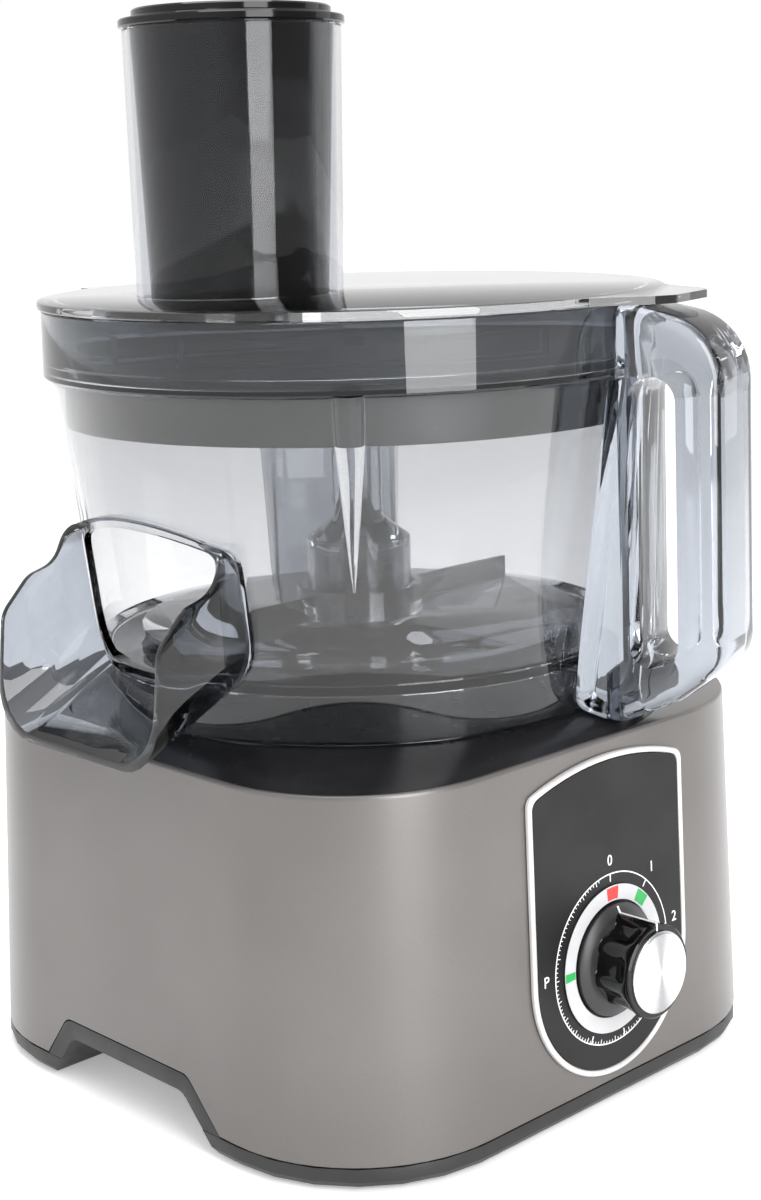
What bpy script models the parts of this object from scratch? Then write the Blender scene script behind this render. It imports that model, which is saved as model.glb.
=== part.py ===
"""Food processor: motor base, clear work bowl with a side chute, slicing disc, lid and pusher.

Lengths are in millimetres and the helpers scale them to metres. Each piece is placed from the
bowl's axis, which stands at AXIS from the middle of the footprint. +X is to the right of
someone who faces the control panel, which is on the -Y side, and Z = 0 is the worktop.
"""

import math

import bmesh
import bpy

for old in list(bpy.data.objects):
    bpy.data.objects.remove(old)

MM = 0.001
GAP = 0.3
RUNNING_GAP = 0.15
AXIS = (9.0, 16.0)
ROUND_STEPS = 48
SMALL_STEPS = 16
FILLET_STEPS = 3

# Motor base
BASE_BOTTOM_HALF = 112.3
BASE_TOP_HALF = 110.0
BASE_CORNER = 57.0
BASE_WALL = 2.5
PAINT_BOTTOM = 8.0
BASE_TOP = 126.0
LEDGE = 123.6
LEDGE_WIDTH = 2.5
TRAY_BOTTOM = 1.5
TRAY_FLOOR = 10.0
TRAY_LIP_TOP = 27.0
ARCH_TOP = 24.0
ARCH_TRIM = 6.5
ARCH_BACK, ARCH_FRONT = 49.0, -47.0
BACK_SLOPE, FRONT_SLOPE = 0.75, 1.05
TRAY_WALL = 2.5
RECESS_X = 96.0
DECK_RADIUS = 110.3
DECK_HALF = 108.3
PLATEAU_RADIUS = 98.0
PLATEAU = 130.6
TOWER_RADIUS = 30.0
TOWER_TOP = 143.0

# Control panel and knob, in a frame on the front face with its Z along the knob's shaft
KNOB_SIDE, KNOB_HEIGHT = 6.0, 51.0
PANEL_HALF = 39.5
PANEL_TOP = 70.0
PANEL_TOP_RADIUS = 118.0
TRIM_WIDTH = 2.0
DIAL_OUTER, DIAL_INNER = 25.0, 19.8
KNOB_FLANGE = 19.0
KNOB_LENGTH = 21.0
CAP_TOP = KNOB_LENGTH + 1.4
CAP_RADIUS = 13.6

# Drive
MOTOR_Y = 62.0
POST_REACH = 28.8
MOTOR_PULLEY = 10.0
DRIVEN_PULLEY = 33.0
PULLEY_LOW, PULLEY_HIGH = 17.0, 29.0
SHAFT_RADIUS = 5.0
COUPLING_RADIUS = 11.0
COUPLING_LOW, COUPLING_HIGH = 143.4, 172.0

# Bowl
BOWL_FOOT = 131.0
BOWL_FLOOR = 150.0
BOWL_LOW_RADIUS = 96.0
BOWL_HIGH_RADIUS = 109.0
BOWL_LOW, BOWL_HIGH = 147.0, 246.0
BOWL_WALL = 2.5
RIM_RADIUS = 111.5
RIM_TOP = 270.5
TUBE_INNER, TUBE_OUTER, TUBE_TOP = 13.0, 15.5, 178.5
CHUTE_HALF = 44.0
CHUTE_WALL = 2.3
CHUTE_SLOPE = 0.457
CHUTE_REACH = 130.0
HANDLE_ANGLE = 286.0
HANDLE_HALF = 16.5
ROD_INNER, ROD_OUTER, ROD_WIDTH = 110.3, 113.1, 3.0
PLUNGER_RADIUS_POSITION = 104.2
RIB_ANGLE = 226.0

# Disc, lid and pusher
DISC_RADIUS = 103.5
DISC_LOW, DISC_HIGH = 230.5, 249.5
LID_LOW, LID_HIGH = 271.0, 274.0
LID_RADIUS = 112.8
SKIRT_INNER, SKIRT_OUTER, SKIRT_LOW = 106.0, 108.5, 252.0
FEED = (-32.0, 24.0)
FEED_LOW_RADIUS, FEED_HIGH_RADIUS = 37.0, 38.9
FEED_LOW, FEED_HIGH = 258.0, 368.0
FEED_WALL = 2.0
PUSHER_LOW, PUSHER_TOP = 262.0, 375.0

LOOKS = {
    "painted_metal": ((0.25, 0.235, 0.225, 1), 0.35, 0.6),
    "black_satin": ((0.03, 0.03, 0.032, 1), 0.45, 0.0),
    "black_gloss": ((0.01, 0.01, 0.01, 1), 0.12, 0.0),
    "dark_grey": ((0.07, 0.07, 0.072, 1), 0.4, 0.0),
    "pale_print": ((0.5, 0.5, 0.51, 1), 0.5, 0.0),
    "silver_trim": ((0.65, 0.65, 0.64, 1), 0.3, 0.8),
    "smoke_clear": ((0.45, 0.47, 0.5, 0.35), 0.05, 0.0),
    "steel": ((0.6, 0.6, 0.6, 1), 0.25, 1.0),
    "laminated_iron": ((0.16, 0.15, 0.15, 1), 0.5, 0.9),
    "copper": ((0.6, 0.25, 0.12, 1), 0.35, 1.0),
    "aluminium": ((0.75, 0.75, 0.75, 1), 0.2, 1.0),
    "natural_plastic": ((0.7, 0.68, 0.62, 1), 0.5, 0.0),
    "board_green": ((0.02, 0.16, 0.07, 1), 0.5, 0.0),
    "rubber": ((0.02, 0.02, 0.02, 1), 0.8, 0.0),
}


# ---------------------------------------------------------------- helpers


def arc(centre, radius, start, end, steps):
    """Points along an arc in a plane, with its angles in degrees."""
    angles = [math.radians(start + (end - start) * i / steps) for i in range(steps + 1)]
    return [(centre[0] + radius * math.cos(a), centre[1] + radius * math.sin(a)) for a in angles]


def rounded(corners):
    """A closed outline from corners (x, y, radius), each rounded by its radius."""
    outline = []
    for index, (x, y, radius) in enumerate(corners):
        if radius == 0:
            outline.append((x, y))
            continue
        before = corners[index - 1]
        after = corners[(index + 1) % len(corners)]
        back = math.atan2(before[1] - y, before[0] - x)
        forth = math.atan2(after[1] - y, after[0] - x)
        half = abs((forth - back + math.pi) % (2 * math.pi) - math.pi) / 2
        middle = math.atan2(math.sin(back) + math.sin(forth), math.cos(back) + math.cos(forth))
        reach = radius / math.sin(half)
        centre = (x + reach * math.cos(middle), y + reach * math.sin(middle))
        run = radius / math.tan(half)
        first = math.atan2(y + run * math.sin(back) - centre[1], x + run * math.cos(back) - centre[0])
        last = math.atan2(y + run * math.sin(forth) - centre[1], x + run * math.cos(forth) - centre[0])
        sweep = (last - first + math.pi) % (2 * math.pi) - math.pi
        outline += arc(centre, radius, math.degrees(first), math.degrees(first + sweep), FILLET_STEPS)
    return outline


def box_outline(x_low, x_high, y_low, y_high, radius=0):
    return rounded(
        [(x_low, y_low, radius), (x_high, y_low, radius), (x_high, y_high, radius), (x_low, y_high, radius)]
    )


def empty(name, location, rotation=(0, 0, 0), parent=None):
    holder = bpy.data.objects.new(name, None)
    holder.location = [value * MM for value in location]
    holder.rotation_euler = rotation
    holder.parent = parent
    bpy.context.scene.collection.objects.link(holder)
    return holder


def material(look):
    made = bpy.data.materials.get(look)
    if made:
        return made
    colour, roughness, metallic = LOOKS[look]
    made = bpy.data.materials.new(look)
    made.use_nodes = True
    shader = made.node_tree.nodes["Principled BSDF"]
    shader.inputs["Base Color"].default_value = colour
    shader.inputs["Roughness"].default_value = roughness
    shader.inputs["Metallic"].default_value = metallic
    shader.inputs["Alpha"].default_value = colour[3]
    return made


def finish(shape, name, look, parent):
    """Turns a bmesh into a named object. A piece with no look is a hidden cutter."""
    bmesh.ops.remove_doubles(shape, verts=shape.verts[:], dist=1e-6)
    bmesh.ops.recalc_face_normals(shape, faces=shape.faces[:])
    mesh = bpy.data.meshes.new(name)
    shape.to_mesh(mesh)
    shape.free()
    mesh.shade_smooth()
    mesh.set_sharp_from_angle(angle=math.radians(30))
    piece = bpy.data.objects.new(name, mesh)
    piece.parent = parent
    bpy.context.scene.collection.objects.link(piece)
    if look:
        mesh.materials.append(material(look))
    else:
        hide(piece)
    return piece


def hide(piece):
    piece.hide_render = True
    piece.display_type = "WIRE"


def loft(name, rings, look, parent, closed=False):
    """Skins rings of points that have equal counts. A closed loft returns to its first ring."""
    shape = bmesh.new()
    rows = [[shape.verts.new([value * MM for value in point]) for point in ring] for ring in rings]
    pairs = list(zip(rows, rows[1:] + rows[:1])) if closed else list(zip(rows, rows[1:]))
    for low, high in pairs:
        for i in range(len(low)):
            shape.faces.new((low[i - 1], low[i], high[i], high[i - 1]))
    if not closed:
        shape.faces.new(rows[0][::-1])
        shape.faces.new(rows[-1])
    return finish(shape, name, look, parent)


def prism(name, outline, low, high, look, parent):
    """An outline in the XY plane, extruded along Z."""
    rings = [[(x, y, level) for x, y in outline] for level in (low, high)]
    return loft(name, rings, look, parent)


def slab(name, outline, width, look, parent, middle=0.0):
    """An outline in the XZ plane, extruded along Y to both sides of middle."""
    sides = (middle - width / 2, middle + width / 2)
    return loft(name, [[(x, side, z) for x, z in outline] for side in sides], look, parent)


def frame_ring(name, outer, inner, low, high, look, parent):
    """A flat ring between two outlines that have equal counts."""
    levels = ((outer, low), (outer, high), (inner, high), (inner, low))
    rings = [[(x, y, level) for x, y in outline] for outline, level in levels]
    return loft(name, rings, look, parent, closed=True)


def turned(name, profile, look, parent, steps=ROUND_STEPS):
    """A profile of (radius, height) points, turned about the parent's Z axis."""
    shape = bmesh.new()
    points = [shape.verts.new((radius * MM, 0, height * MM)) for radius, height in profile]
    edges = []
    for index, point in enumerate(points):
        if profile[index - 1][0] == 0 and profile[index][0] == 0:
            continue
        edges.append(shape.edges.new((points[index - 1], point)))
    bmesh.ops.spin(
        shape,
        geom=points + edges,
        cent=(0, 0, 0),
        axis=(0, 0, 1),
        angle=2 * math.pi,
        steps=steps,
        use_merge=True,
    )
    return finish(shape, name, look, parent)


def combine(piece, other, operation="DIFFERENCE"):
    hide(other)
    step = piece.modifiers.new(other.name, "BOOLEAN")
    step.operation = operation
    step.object = other
    return piece


def drill(piece, name, radius, low, high, parent, steps=SMALL_STEPS):
    profile = [(0, high), (radius, high), (radius, low), (0, low)]
    return combine(piece, turned(name, profile, None, parent, steps))


def cylinder(name, radius, low, high, look, parent, steps=SMALL_STEPS):
    return turned(name, [(0, high), (radius, high), (radius, low), (0, low)], look, parent, steps)


def tube(name, inner, outer, low, high, look, parent, steps=SMALL_STEPS):
    return turned(name, [(outer, low), (outer, high), (inner, high), (inner, low)], look, parent, steps)


# ---------------------------------------------------------------- shared shapes


def square_radius(half, corner, degrees):
    """Distance from the axis to the edge of a rounded square in one direction."""
    turn = math.radians(degrees)
    long, short = abs(math.cos(turn)), abs(math.sin(turn))
    if short > long:
        long, short = short, long
    inset = half - corner
    if half * short / long <= inset:
        return half / long
    reach = inset * (long + short)
    return reach + math.sqrt(reach * reach - 2 * inset * inset + corner * corner)


def ring_of(radius_at, level, steps=60):
    """A ring of points whose radius is a number or depends on the direction."""
    ring = []
    for index in range(steps):
        degrees = 360.0 * index / steps + 2.5
        radius = radius_at(degrees) if callable(radius_at) else radius_at
        turn = math.radians(degrees)
        ring.append((radius * math.cos(turn), radius * math.sin(turn), level))
    return ring


def base_half(height):
    share = (height - PAINT_BOTTOM) / (BASE_TOP - PAINT_BOTTOM)
    return BASE_BOTTOM_HALF + (BASE_TOP_HALF - BASE_BOTTOM_HALF) * share


def square(half, corner=BASE_CORNER):
    return lambda degrees: square_radius(half, corner, degrees)


def deck_edge(grow):
    """The deck fills two opposite corners of the base and is round at the other two."""

    def radius(degrees):
        flat = square_radius(DECK_HALF + grow, BASE_CORNER - 1.7, degrees)
        fills_corner = math.sin(math.radians(2 * degrees)) > 0
        return flat if fills_corner else min(flat, DECK_RADIUS + grow)

    return radius


def base_block(name, half, low, high, parent):
    return loft(name, [ring_of(square(half), low), ring_of(square(half), high)], None, parent)


def arch_outline(shrink, bottom, top):
    """The arch in the base's left and right sides as (y, z), offset inwards by shrink."""
    corners = []
    for level, radius in ((bottom, 0), (top, 6)):
        rise = level - PAINT_BOTTOM
        front = ARCH_FRONT + FRONT_SLOPE * rise + shrink * math.hypot(1, FRONT_SLOPE)
        back = ARCH_BACK - BACK_SLOPE * rise - shrink * math.hypot(1, BACK_SLOPE)
        corners.append(((front, level, radius), (back, level, radius)))
    (low_front, low_back), (high_front, high_back) = corners
    return rounded([low_front, high_front, high_back, low_back])


def arch_tunnel(name, shrink, bottom, top, ends, parent):
    outline = arch_outline(shrink, bottom, top)
    return loft(name, [[(x, y, z) for y, z in outline] for x in ends], None, parent)


def bowl_radius(height):
    """Outer radius of the bowl's conical wall."""
    return BOWL_LOW_RADIUS + (BOWL_HIGH_RADIUS - BOWL_LOW_RADIUS) * (height - BOWL_LOW) / (
        BOWL_HIGH - BOWL_LOW
    )


# ---------------------------------------------------------------- motor base


def build_housing(stand, panel):
    rings = [
        ring_of(square(BASE_BOTTOM_HALF), PAINT_BOTTOM),
        ring_of(square(base_half(BASE_TOP - 1.2)), BASE_TOP - 1.2),
        ring_of(square(BASE_TOP_HALF - 0.9, BASE_CORNER - 0.9), BASE_TOP),
        ring_of(deck_edge(GAP), BASE_TOP),
        ring_of(deck_edge(GAP), LEDGE),
        ring_of(deck_edge(GAP - LEDGE_WIDTH), LEDGE),
        ring_of(deck_edge(GAP - LEDGE_WIDTH), LEDGE - 2.2),
        ring_of(square(BASE_TOP_HALF - BASE_WALL, BASE_CORNER - BASE_WALL), LEDGE - 4.0),
        ring_of(square(BASE_BOTTOM_HALF - BASE_WALL, BASE_CORNER - BASE_WALL), PAINT_BOTTOM),
    ]
    housing = loft("housing", rings, "painted_metal", stand, closed=True)
    for side, name in ((-1, "left"), (1, "right")):
        ends = (side * 90.0, side * 130.0)
        combine(housing, arch_tunnel("arch_cut_" + name, 0, PAINT_BOTTOM - 1, ARCH_TOP, ends, stand))
    drill(housing, "knob_shaft_hole", 4.0, -20, 10, panel)
    inlet = empty("inlet_axis", (36, base_half(40), 40), (math.radians(-90), 0, 0), stand)
    drill(housing, "inlet_hole", 6.5, -20, 10, inlet)
    build_cord_inlet(inlet)


def build_cord_inlet(inlet):
    profile = [
        (9.0, 0.4),
        (9.0, 2.2),
        (7.5, 3.4),
        (3.6, 3.4),
        (3.6, -8.0),
        (8.0, -8.0),
        (8.0, -4.2),
        (6.1, -4.2),
        (6.1, 0.4),
    ]
    turned("cord_inlet", profile, "rubber", inlet, SMALL_STEPS)


def build_tray(stand):
    """A black pan that closes the base. It stands on four corners and is raised between them."""
    lip_half = BASE_BOTTOM_HALF - BASE_WALL - 1.1
    band = square(BASE_BOTTOM_HALF)
    rings = [
        ring_of(square(BASE_BOTTOM_HALF - 1.5, BASE_CORNER - 1.5), TRAY_BOTTOM),
        ring_of(band, TRAY_BOTTOM + 2.0),
        ring_of(band, PAINT_BOTTOM - GAP),
    ]
    tray = loft("base_tray", rings, "black_satin", stand)
    combine(tray, base_block("tray_lip", lip_half, 5.0, TRAY_LIP_TOP, stand), "UNION")
    inside = base_block("tray_inside", lip_half - 2.2, TRAY_BOTTOM + TRAY_WALL, TRAY_LIP_TOP + 5, stand)
    shrink = ARCH_TRIM - TRAY_WALL
    through = (-130.0, 130.0)
    combine(inside, arch_tunnel("tray_middle", shrink, -5, TRAY_FLOOR + TRAY_WALL, through, stand))
    for side, name in ((-1, "left"), (1, "right")):
        ends = (side * 90.0, side * (BASE_BOTTOM_HALF - 0.2))
        trim = arch_tunnel("arch_trim_" + name, 0.4, 5.0, ARCH_TOP - 0.4, ends, stand)
        combine(tray, trim, "UNION")
        ends = (side * (RECESS_X - TRAY_WALL), side * 130.0)
        combine(inside, arch_tunnel("arch_inner_" + name, shrink, -5, ARCH_TOP - shrink, ends, stand))
    combine(tray, inside)
    combine(tray, arch_tunnel("underside", ARCH_TRIM, -6, TRAY_FLOOR, through, stand))
    for side, name in ((-1, "left"), (1, "right")):
        ends = (side * RECESS_X, side * 130.0)
        opening = arch_tunnel("arch_opening_" + name, ARCH_TRIM, -6.5, ARCH_TOP - ARCH_TRIM, ends, stand)
        combine(tray, opening)
    return tray


def add_vents(tray, stand):
    """Air slots in the raised underside and in the two upright walls behind the arches."""
    slots = 6
    for index in range(slots):
        along = (index - (slots - 1) / 2) * 7.0
        outline = box_outline(along - 1.6, along + 1.6, -32, -6)
        combine(tray, prism(f"floor_vent_{index + 1}", outline, 5, 16, None, stand))
        outline = [(-130, 13.2), (130, 13.2), (130, 16.6), (-130, 16.6)]
        side_vent = slab(f"side_vent_{index + 1}", outline, 3.2, None, stand, along + 4)
        combine(tray, side_vent)


def build_feet(tray, stand):
    for index, (x, y) in enumerate(((-76, -76), (76, -76), (76, 76), (-76, 76)), start=1):
        corner = empty(f"foot_axis_{index}", (x, y, 0), parent=stand)
        sole = [(9, TRAY_BOTTOM - GAP), (9, 0.5), (8.5, 0), (3.6, 0), (3.6, TRAY_BOTTOM - GAP)]
        turned(f"foot_{index}", sole, "rubber", corner, SMALL_STEPS)
        screw = [(3.2, 0.4), (3.2, 1.2), (1.6, 1.2), (1.6, 12), (0, 12), (0, 0.4)]
        turned(f"foot_screw_{index}", screw, "steel", corner, 12)
        combine(tray, cylinder(f"boss_{index}", 4.5, 2.5, 14, None, corner), "UNION")
        drill(tray, f"screw_hole_{index}", 1.9, 0, 16, corner, 12)


def build_deck(stand, handle_side):
    """The black top plate: crowned, with a central tower that the bowl drops over."""

    def crown_step(degrees):
        return (PLATEAU_RADIUS + deck_edge(0)(degrees)) / 2

    rings = [
        ring_of(deck_edge(0), LEDGE + GAP),
        ring_of(deck_edge(0), BASE_TOP - 0.3),
        ring_of(crown_step, PLATEAU - 1.7),
        ring_of(PLATEAU_RADIUS, PLATEAU),
        ring_of(TOWER_RADIUS + 3, PLATEAU),
        ring_of(TOWER_RADIUS, PLATEAU + 3),
        ring_of(TOWER_RADIUS, TOWER_TOP - 2),
        ring_of(TOWER_RADIUS - 2, TOWER_TOP),
        ring_of(SHAFT_RADIUS + 2.5, TOWER_TOP),
        ring_of(SHAFT_RADIUS + 2.5, TOWER_TOP - 3),
        ring_of(TOWER_RADIUS - 3, TOWER_TOP - 3),
        ring_of(TOWER_RADIUS - 3, PLATEAU - 3),
        ring_of(PLATEAU_RADIUS - 6, PLATEAU - 3),
        ring_of(PLATEAU_RADIUS - 6, LEDGE - 4),
        ring_of(deck_edge(-LEDGE_WIDTH - GAP), LEDGE - 4),
        ring_of(deck_edge(-LEDGE_WIDTH - GAP), LEDGE + GAP),
    ]
    deck = loft("deck", rings, "black_satin", stand, closed=True)
    plunger = empty("plunger_axis", (PLUNGER_RADIUS_POSITION, 0, 0), parent=handle_side)
    drill(deck, "plunger_hole", 2.6, 110, 140, plunger)
    for index in range(3):
        lug = empty(f"lug_turn_{index + 1}", (0, 0, 0), (0, 0, math.radians(120 * index + 20)), stand)
        outline = box_outline(TOWER_RADIUS - 1.5, TOWER_RADIUS + 4, -6, 6, 1.5)
        combine(deck, prism(f"bayonet_lug_{index + 1}", outline, 137, 140.5, None, lug), "UNION")
    build_interlock_switch(plunger)


def build_interlock_switch(plunger):
    cylinder("interlock_plunger", 1.7, 115.5, 129.2, "natural_plastic", plunger)
    body = box_outline(-8, 3, -10, 10, 1)
    switch = prism("interlock_switch", body, 101, 117.2, "black_satin", plunger)
    drill(switch, "plunger_bore", 2.1, 111, 120, plunger)


# ---------------------------------------------------------------- control panel


def panel_outline(inset):
    half = PANEL_HALF - inset
    radius = PANEL_TOP_RADIUS - inset
    edge = math.degrees(math.asin(half / radius))
    top = arc((0, PANEL_TOP - PANEL_TOP_RADIUS), radius, 90 - edge, 90 + edge, 8)
    corners = [(x, y, 0) for x, y in arc((0, 0), half, 180, 360, 24)]
    corners += [(x, y, 4 if index in (0, 8) else 0) for index, (x, y) in enumerate(top)]
    return rounded(corners)


def build_panel(panel):
    face = prism("control_panel", panel_outline(TRIM_WIDTH + GAP), GAP, 1.5, "black_satin", panel)
    drill(face, "panel_hole", 4.0, -5, 5, panel)
    edge = panel_outline(0)
    frame_ring("panel_trim", edge, panel_outline(TRIM_WIDTH), GAP, 2.0, "silver_trim", panel)
    tube("dial_ring", DIAL_INNER, DIAL_OUTER, 1.8, 2.4, "pale_print", panel, 32)
    switch = prism("rotary_switch", box_outline(-16, 16, -16, 16, 2), -34, -8, "natural_plastic", panel)
    drill(switch, "switch_bore", 3.3, -30, -5, panel)


def build_knob(panel):
    """A round flange, a fluted grip with a pointer bar, and a metal cap."""
    flange = [(KNOB_FLANGE, 1.9), (KNOB_FLANGE, 4.0), (16.5, 5.5), (0, 5.5), (0, 1.9)]
    knob = turned("knob", flange, "black_gloss", panel, 32)
    flutes = 7
    outline = []
    for index in range(flutes * 8):
        turn = 2 * math.pi * index / (flutes * 8)
        radius = 14.2 + 0.8 * math.cos(flutes * (turn - math.pi / 2))
        outline.append((radius * math.cos(turn), radius * math.sin(turn)))
    combine(knob, prism("knob_grip", outline, 4.5, KNOB_LENGTH, None, panel), "UNION")
    pointer = rounded([(-2.5, 0, 0), (2.5, 0, 0), (2.5, 16.4, 2), (-2.5, 16.4, 2)])
    combine(knob, prism("knob_pointer", pointer, 4.7, KNOB_LENGTH - 3, None, panel), "UNION")
    under_cap = KNOB_LENGTH + GAP
    cap = [(0, CAP_TOP), (CAP_RADIUS - 0.8, CAP_TOP), (CAP_RADIUS, CAP_TOP - 0.6)]
    cap += [(CAP_RADIUS, under_cap), (0, under_cap)]
    turned("knob_cap", cap, "aluminium", panel, 32)
    cylinder("selector_shaft", 3.0, -28, 1.6, "steel", panel)


# ---------------------------------------------------------------- drive


def build_motor(motor):
    """An upright motor behind the bowl's axis, on a bracket that stands on the tray."""
    stator = prism("motor_stator", box_outline(-31, 31, -31, 31, 6), 50, 92, "laminated_iron", motor)
    drill(stator, "stator_bore", 17.5, 40, 100, motor, 32)
    cylinder("motor_shaft", 3.0, 15, 111, "steel", motor)
    tube("motor_rotor", 3.3, 16.5, 52, 90, "copper", motor, 32)
    tube("commutator", 3.3, 9.0, 38, 48, "copper", motor)
    for side, name in ((-1, "left"), (1, "right")):
        ends = sorted((side * 9.6, side * 22.0))
        outline = box_outline(*ends, -4, 4)
        prism("brush_holder_" + name, outline, 39, 47, "natural_plastic", motor)
    build_fan(motor)
    groove = MOTOR_PULLEY
    profile = [
        (groove + 3, PULLEY_LOW),
        (groove + 3, PULLEY_LOW + 1.5),
        (groove, PULLEY_LOW + 2.5),
        (groove, PULLEY_HIGH - 2.5),
        (groove + 3, PULLEY_HIGH - 1.5),
        (groove + 3, PULLEY_HIGH),
        (3.3, PULLEY_HIGH),
        (3.3, PULLEY_LOW),
    ]
    turned("motor_pulley", profile, "steel", motor, SMALL_STEPS)
    build_bracket("motor_bracket_lower", motor, (31.5, 34.5), (TRAY_FLOOR + TRAY_WALL + GAP, 49.7), 4.3)
    build_bracket("motor_bracket_upper", motor, (107, 110), (92.3, 108), 92.3)


def build_fan(motor):
    fan = tube("motor_fan", 3.3, 8, 94, 104, "natural_plastic", motor)
    blades = 8
    for index in range(blades):
        turn = empty(f"fan_turn_{index + 1}", (0, 0, 0), (0, 0, 2 * math.pi * index / blades), motor)
        outline = box_outline(7, 26, -0.8, 0.8)
        combine(fan, prism(f"fan_blade_{index + 1}", outline, 95, 103, None, turn), "UNION")


def build_bracket(name, motor, plate, posts, rear_low):
    """A square plate with a shaft hole and a post at each corner."""
    bracket = prism(name, box_outline(-33, 33, -33, 33, 5), *plate, "aluminium", motor)
    for index, (side, end) in enumerate(((-1, -1), (1, -1), (1, 1), (-1, 1)), start=1):
        corner = empty(f"{name}_corner_{index}", (side * POST_REACH, end * POST_REACH, 0), parent=motor)
        low = posts[0] if end < 0 else rear_low
        post = cylinder(f"{name}_post_{index}", 3.8, low, posts[1], None, corner, 12)
        combine(bracket, post, "UNION")
    drill(bracket, name + "_hole", 3.0 + RUNNING_GAP, plate[0] - 5, plate[1] + 5, motor)


def belt_outline(grow):
    """A loop round both pulleys, as equal numbers of points for every grow."""
    lean = math.degrees(math.asin((DRIVEN_PULLEY - MOTOR_PULLEY) / MOTOR_Y))
    far = arc((0, MOTOR_Y), MOTOR_PULLEY + grow, lean, 180 - lean, 10)
    near = arc((0, 0), DRIVEN_PULLEY + grow, 180 - lean, 360 + lean, 26)
    return far + near


def build_drive(stand):
    cylinder("drive_shaft", SHAFT_RADIUS, 15, COUPLING_LOW - GAP, "steel", stand)
    groove = DRIVEN_PULLEY
    profile = [
        (groove + 3, PULLEY_LOW),
        (groove + 3, PULLEY_LOW + 1.5),
        (groove, PULLEY_LOW + 2.5),
        (groove, PULLEY_HIGH - 2.5),
        (groove + 3, PULLEY_HIGH - 1.5),
        (groove + 3, PULLEY_HIGH),
        (groove - 4, PULLEY_HIGH),
        (groove - 4, 24.5),
        (11, 24.5),
        (11, PULLEY_HIGH + 1),
        (SHAFT_RADIUS + GAP, PULLEY_HIGH + 1),
        (SHAFT_RADIUS + GAP, 19),
        (11, 19),
        (11, 21.5),
        (groove - 4, 21.5),
        (groove - 4, PULLEY_LOW),
    ]
    turned("driven_pulley", profile, "natural_plastic", stand, 24)
    belt = (PULLEY_LOW + 3.5, PULLEY_HIGH - 3.5)
    frame_ring("drive_belt", belt_outline(1.8), belt_outline(GAP), *belt, "rubber", stand)
    hexagon = arc((0, 0), COUPLING_RADIUS, 0, 300, 5)
    coupling = prism("drive_coupling", hexagon, COUPLING_LOW, COUPLING_HIGH, "steel", stand)
    collar = cylinder("coupling_collar", 12.2, COUPLING_LOW + 1, COUPLING_LOW + 3.5, None, stand)
    combine(coupling, collar, "UNION")
    sleeve = [(16, 34), (16, 123.8), (34, 123.8), (34, 127.3), (12.3, 127.3), (12.3, 34)]
    turned("bearing_housing", sleeve, "aluminium", stand, 24)
    bore = SHAFT_RADIUS + RUNNING_GAP
    tube("bearing_lower", bore, 12.0, 36, 44, "steel", stand)
    tube("bearing_upper", bore, 12.0, 112, 120, "steel", stand)


def build_electronics(stand):
    prism("circuit_board", box_outline(-92, -54, -34, 34, 2), 40, 41.6, "board_green", stand)
    holder = empty("capacitor_axis", (-74, 14, 0), parent=stand)
    cylinder("capacitor", 8, 41.9, 66, "dark_grey", holder)
    post = prism("board_stand", box_outline(-88, -58, -26, 26, 2), 13, 39.7, "natural_plastic", stand)
    combine(post, prism("board_stand_hollow", box_outline(-85, -61, -23, 23, 1), 10, 37, None, stand))


# ---------------------------------------------------------------- bowl


def bowl_outside(stand):
    """A solid a little larger than the bowl's outside, which trims what is fixed to it."""
    low = bowl_radius(BOWL_FOOT) + GAP
    profile = [
        (0, RIM_TOP + 12),
        (RIM_RADIUS + GAP, RIM_TOP + 12),
        (RIM_RADIUS + GAP, BOWL_HIGH - 0.1),
        (BOWL_HIGH_RADIUS + GAP, BOWL_HIGH - 0.6),
        (low, BOWL_FOOT),
        (low, BOWL_FOOT - 20),
        (0, BOWL_FOOT - 20),
    ]
    return turned("bowl_outside", profile, None, stand)


def build_bowl(stand, handle_side):
    inner_low = bowl_radius(BOWL_FLOOR) - BOWL_WALL
    inner_high = BOWL_HIGH_RADIUS - BOWL_WALL
    foot = bowl_radius(BOWL_FOOT)
    profile = [
        (foot, BOWL_FOOT),
        (BOWL_HIGH_RADIUS, BOWL_HIGH),
        (RIM_RADIUS, BOWL_HIGH + 0.8),
        (RIM_RADIUS, RIM_TOP),
        (RIM_RADIUS - BOWL_WALL, RIM_TOP),
        (RIM_RADIUS - BOWL_WALL, BOWL_HIGH + 3),
        (inner_high, BOWL_HIGH + 1),
        (inner_low + 0.3, BOWL_FLOOR + 3),
        (inner_low - 2.5, BOWL_FLOOR),
        (TUBE_OUTER, BOWL_FLOOR),
        (TUBE_OUTER, TUBE_TOP),
        (TUBE_INNER, TUBE_TOP),
        (TUBE_INNER, BOWL_FLOOR - BOWL_WALL),
        (foot - BOWL_WALL, BOWL_FLOOR - BOWL_WALL),
        (foot - BOWL_WALL, BOWL_FOOT),
    ]
    bowl = turned("bowl", profile, "smoke_clear", stand)
    add_rib(bowl, stand)
    window = chute_section(95.0, CHUTE_WALL + 1.5, BOWL_FLOOR + 0.4)
    rings = [[(x, y, z) for _, y, z in window] for x in (-120.0, -84.0)]
    combine(bowl, loft("chute_window", rings, None, stand))
    groove = [(110.0, BOWL_HIGH - 2), (RIM_RADIUS + 2, BOWL_HIGH - 2), (RIM_RADIUS + 2, 275), (110.0, 275)]
    combine(bowl, slab("rod_groove", groove, ROD_WIDTH + 0.8, None, handle_side))


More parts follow.
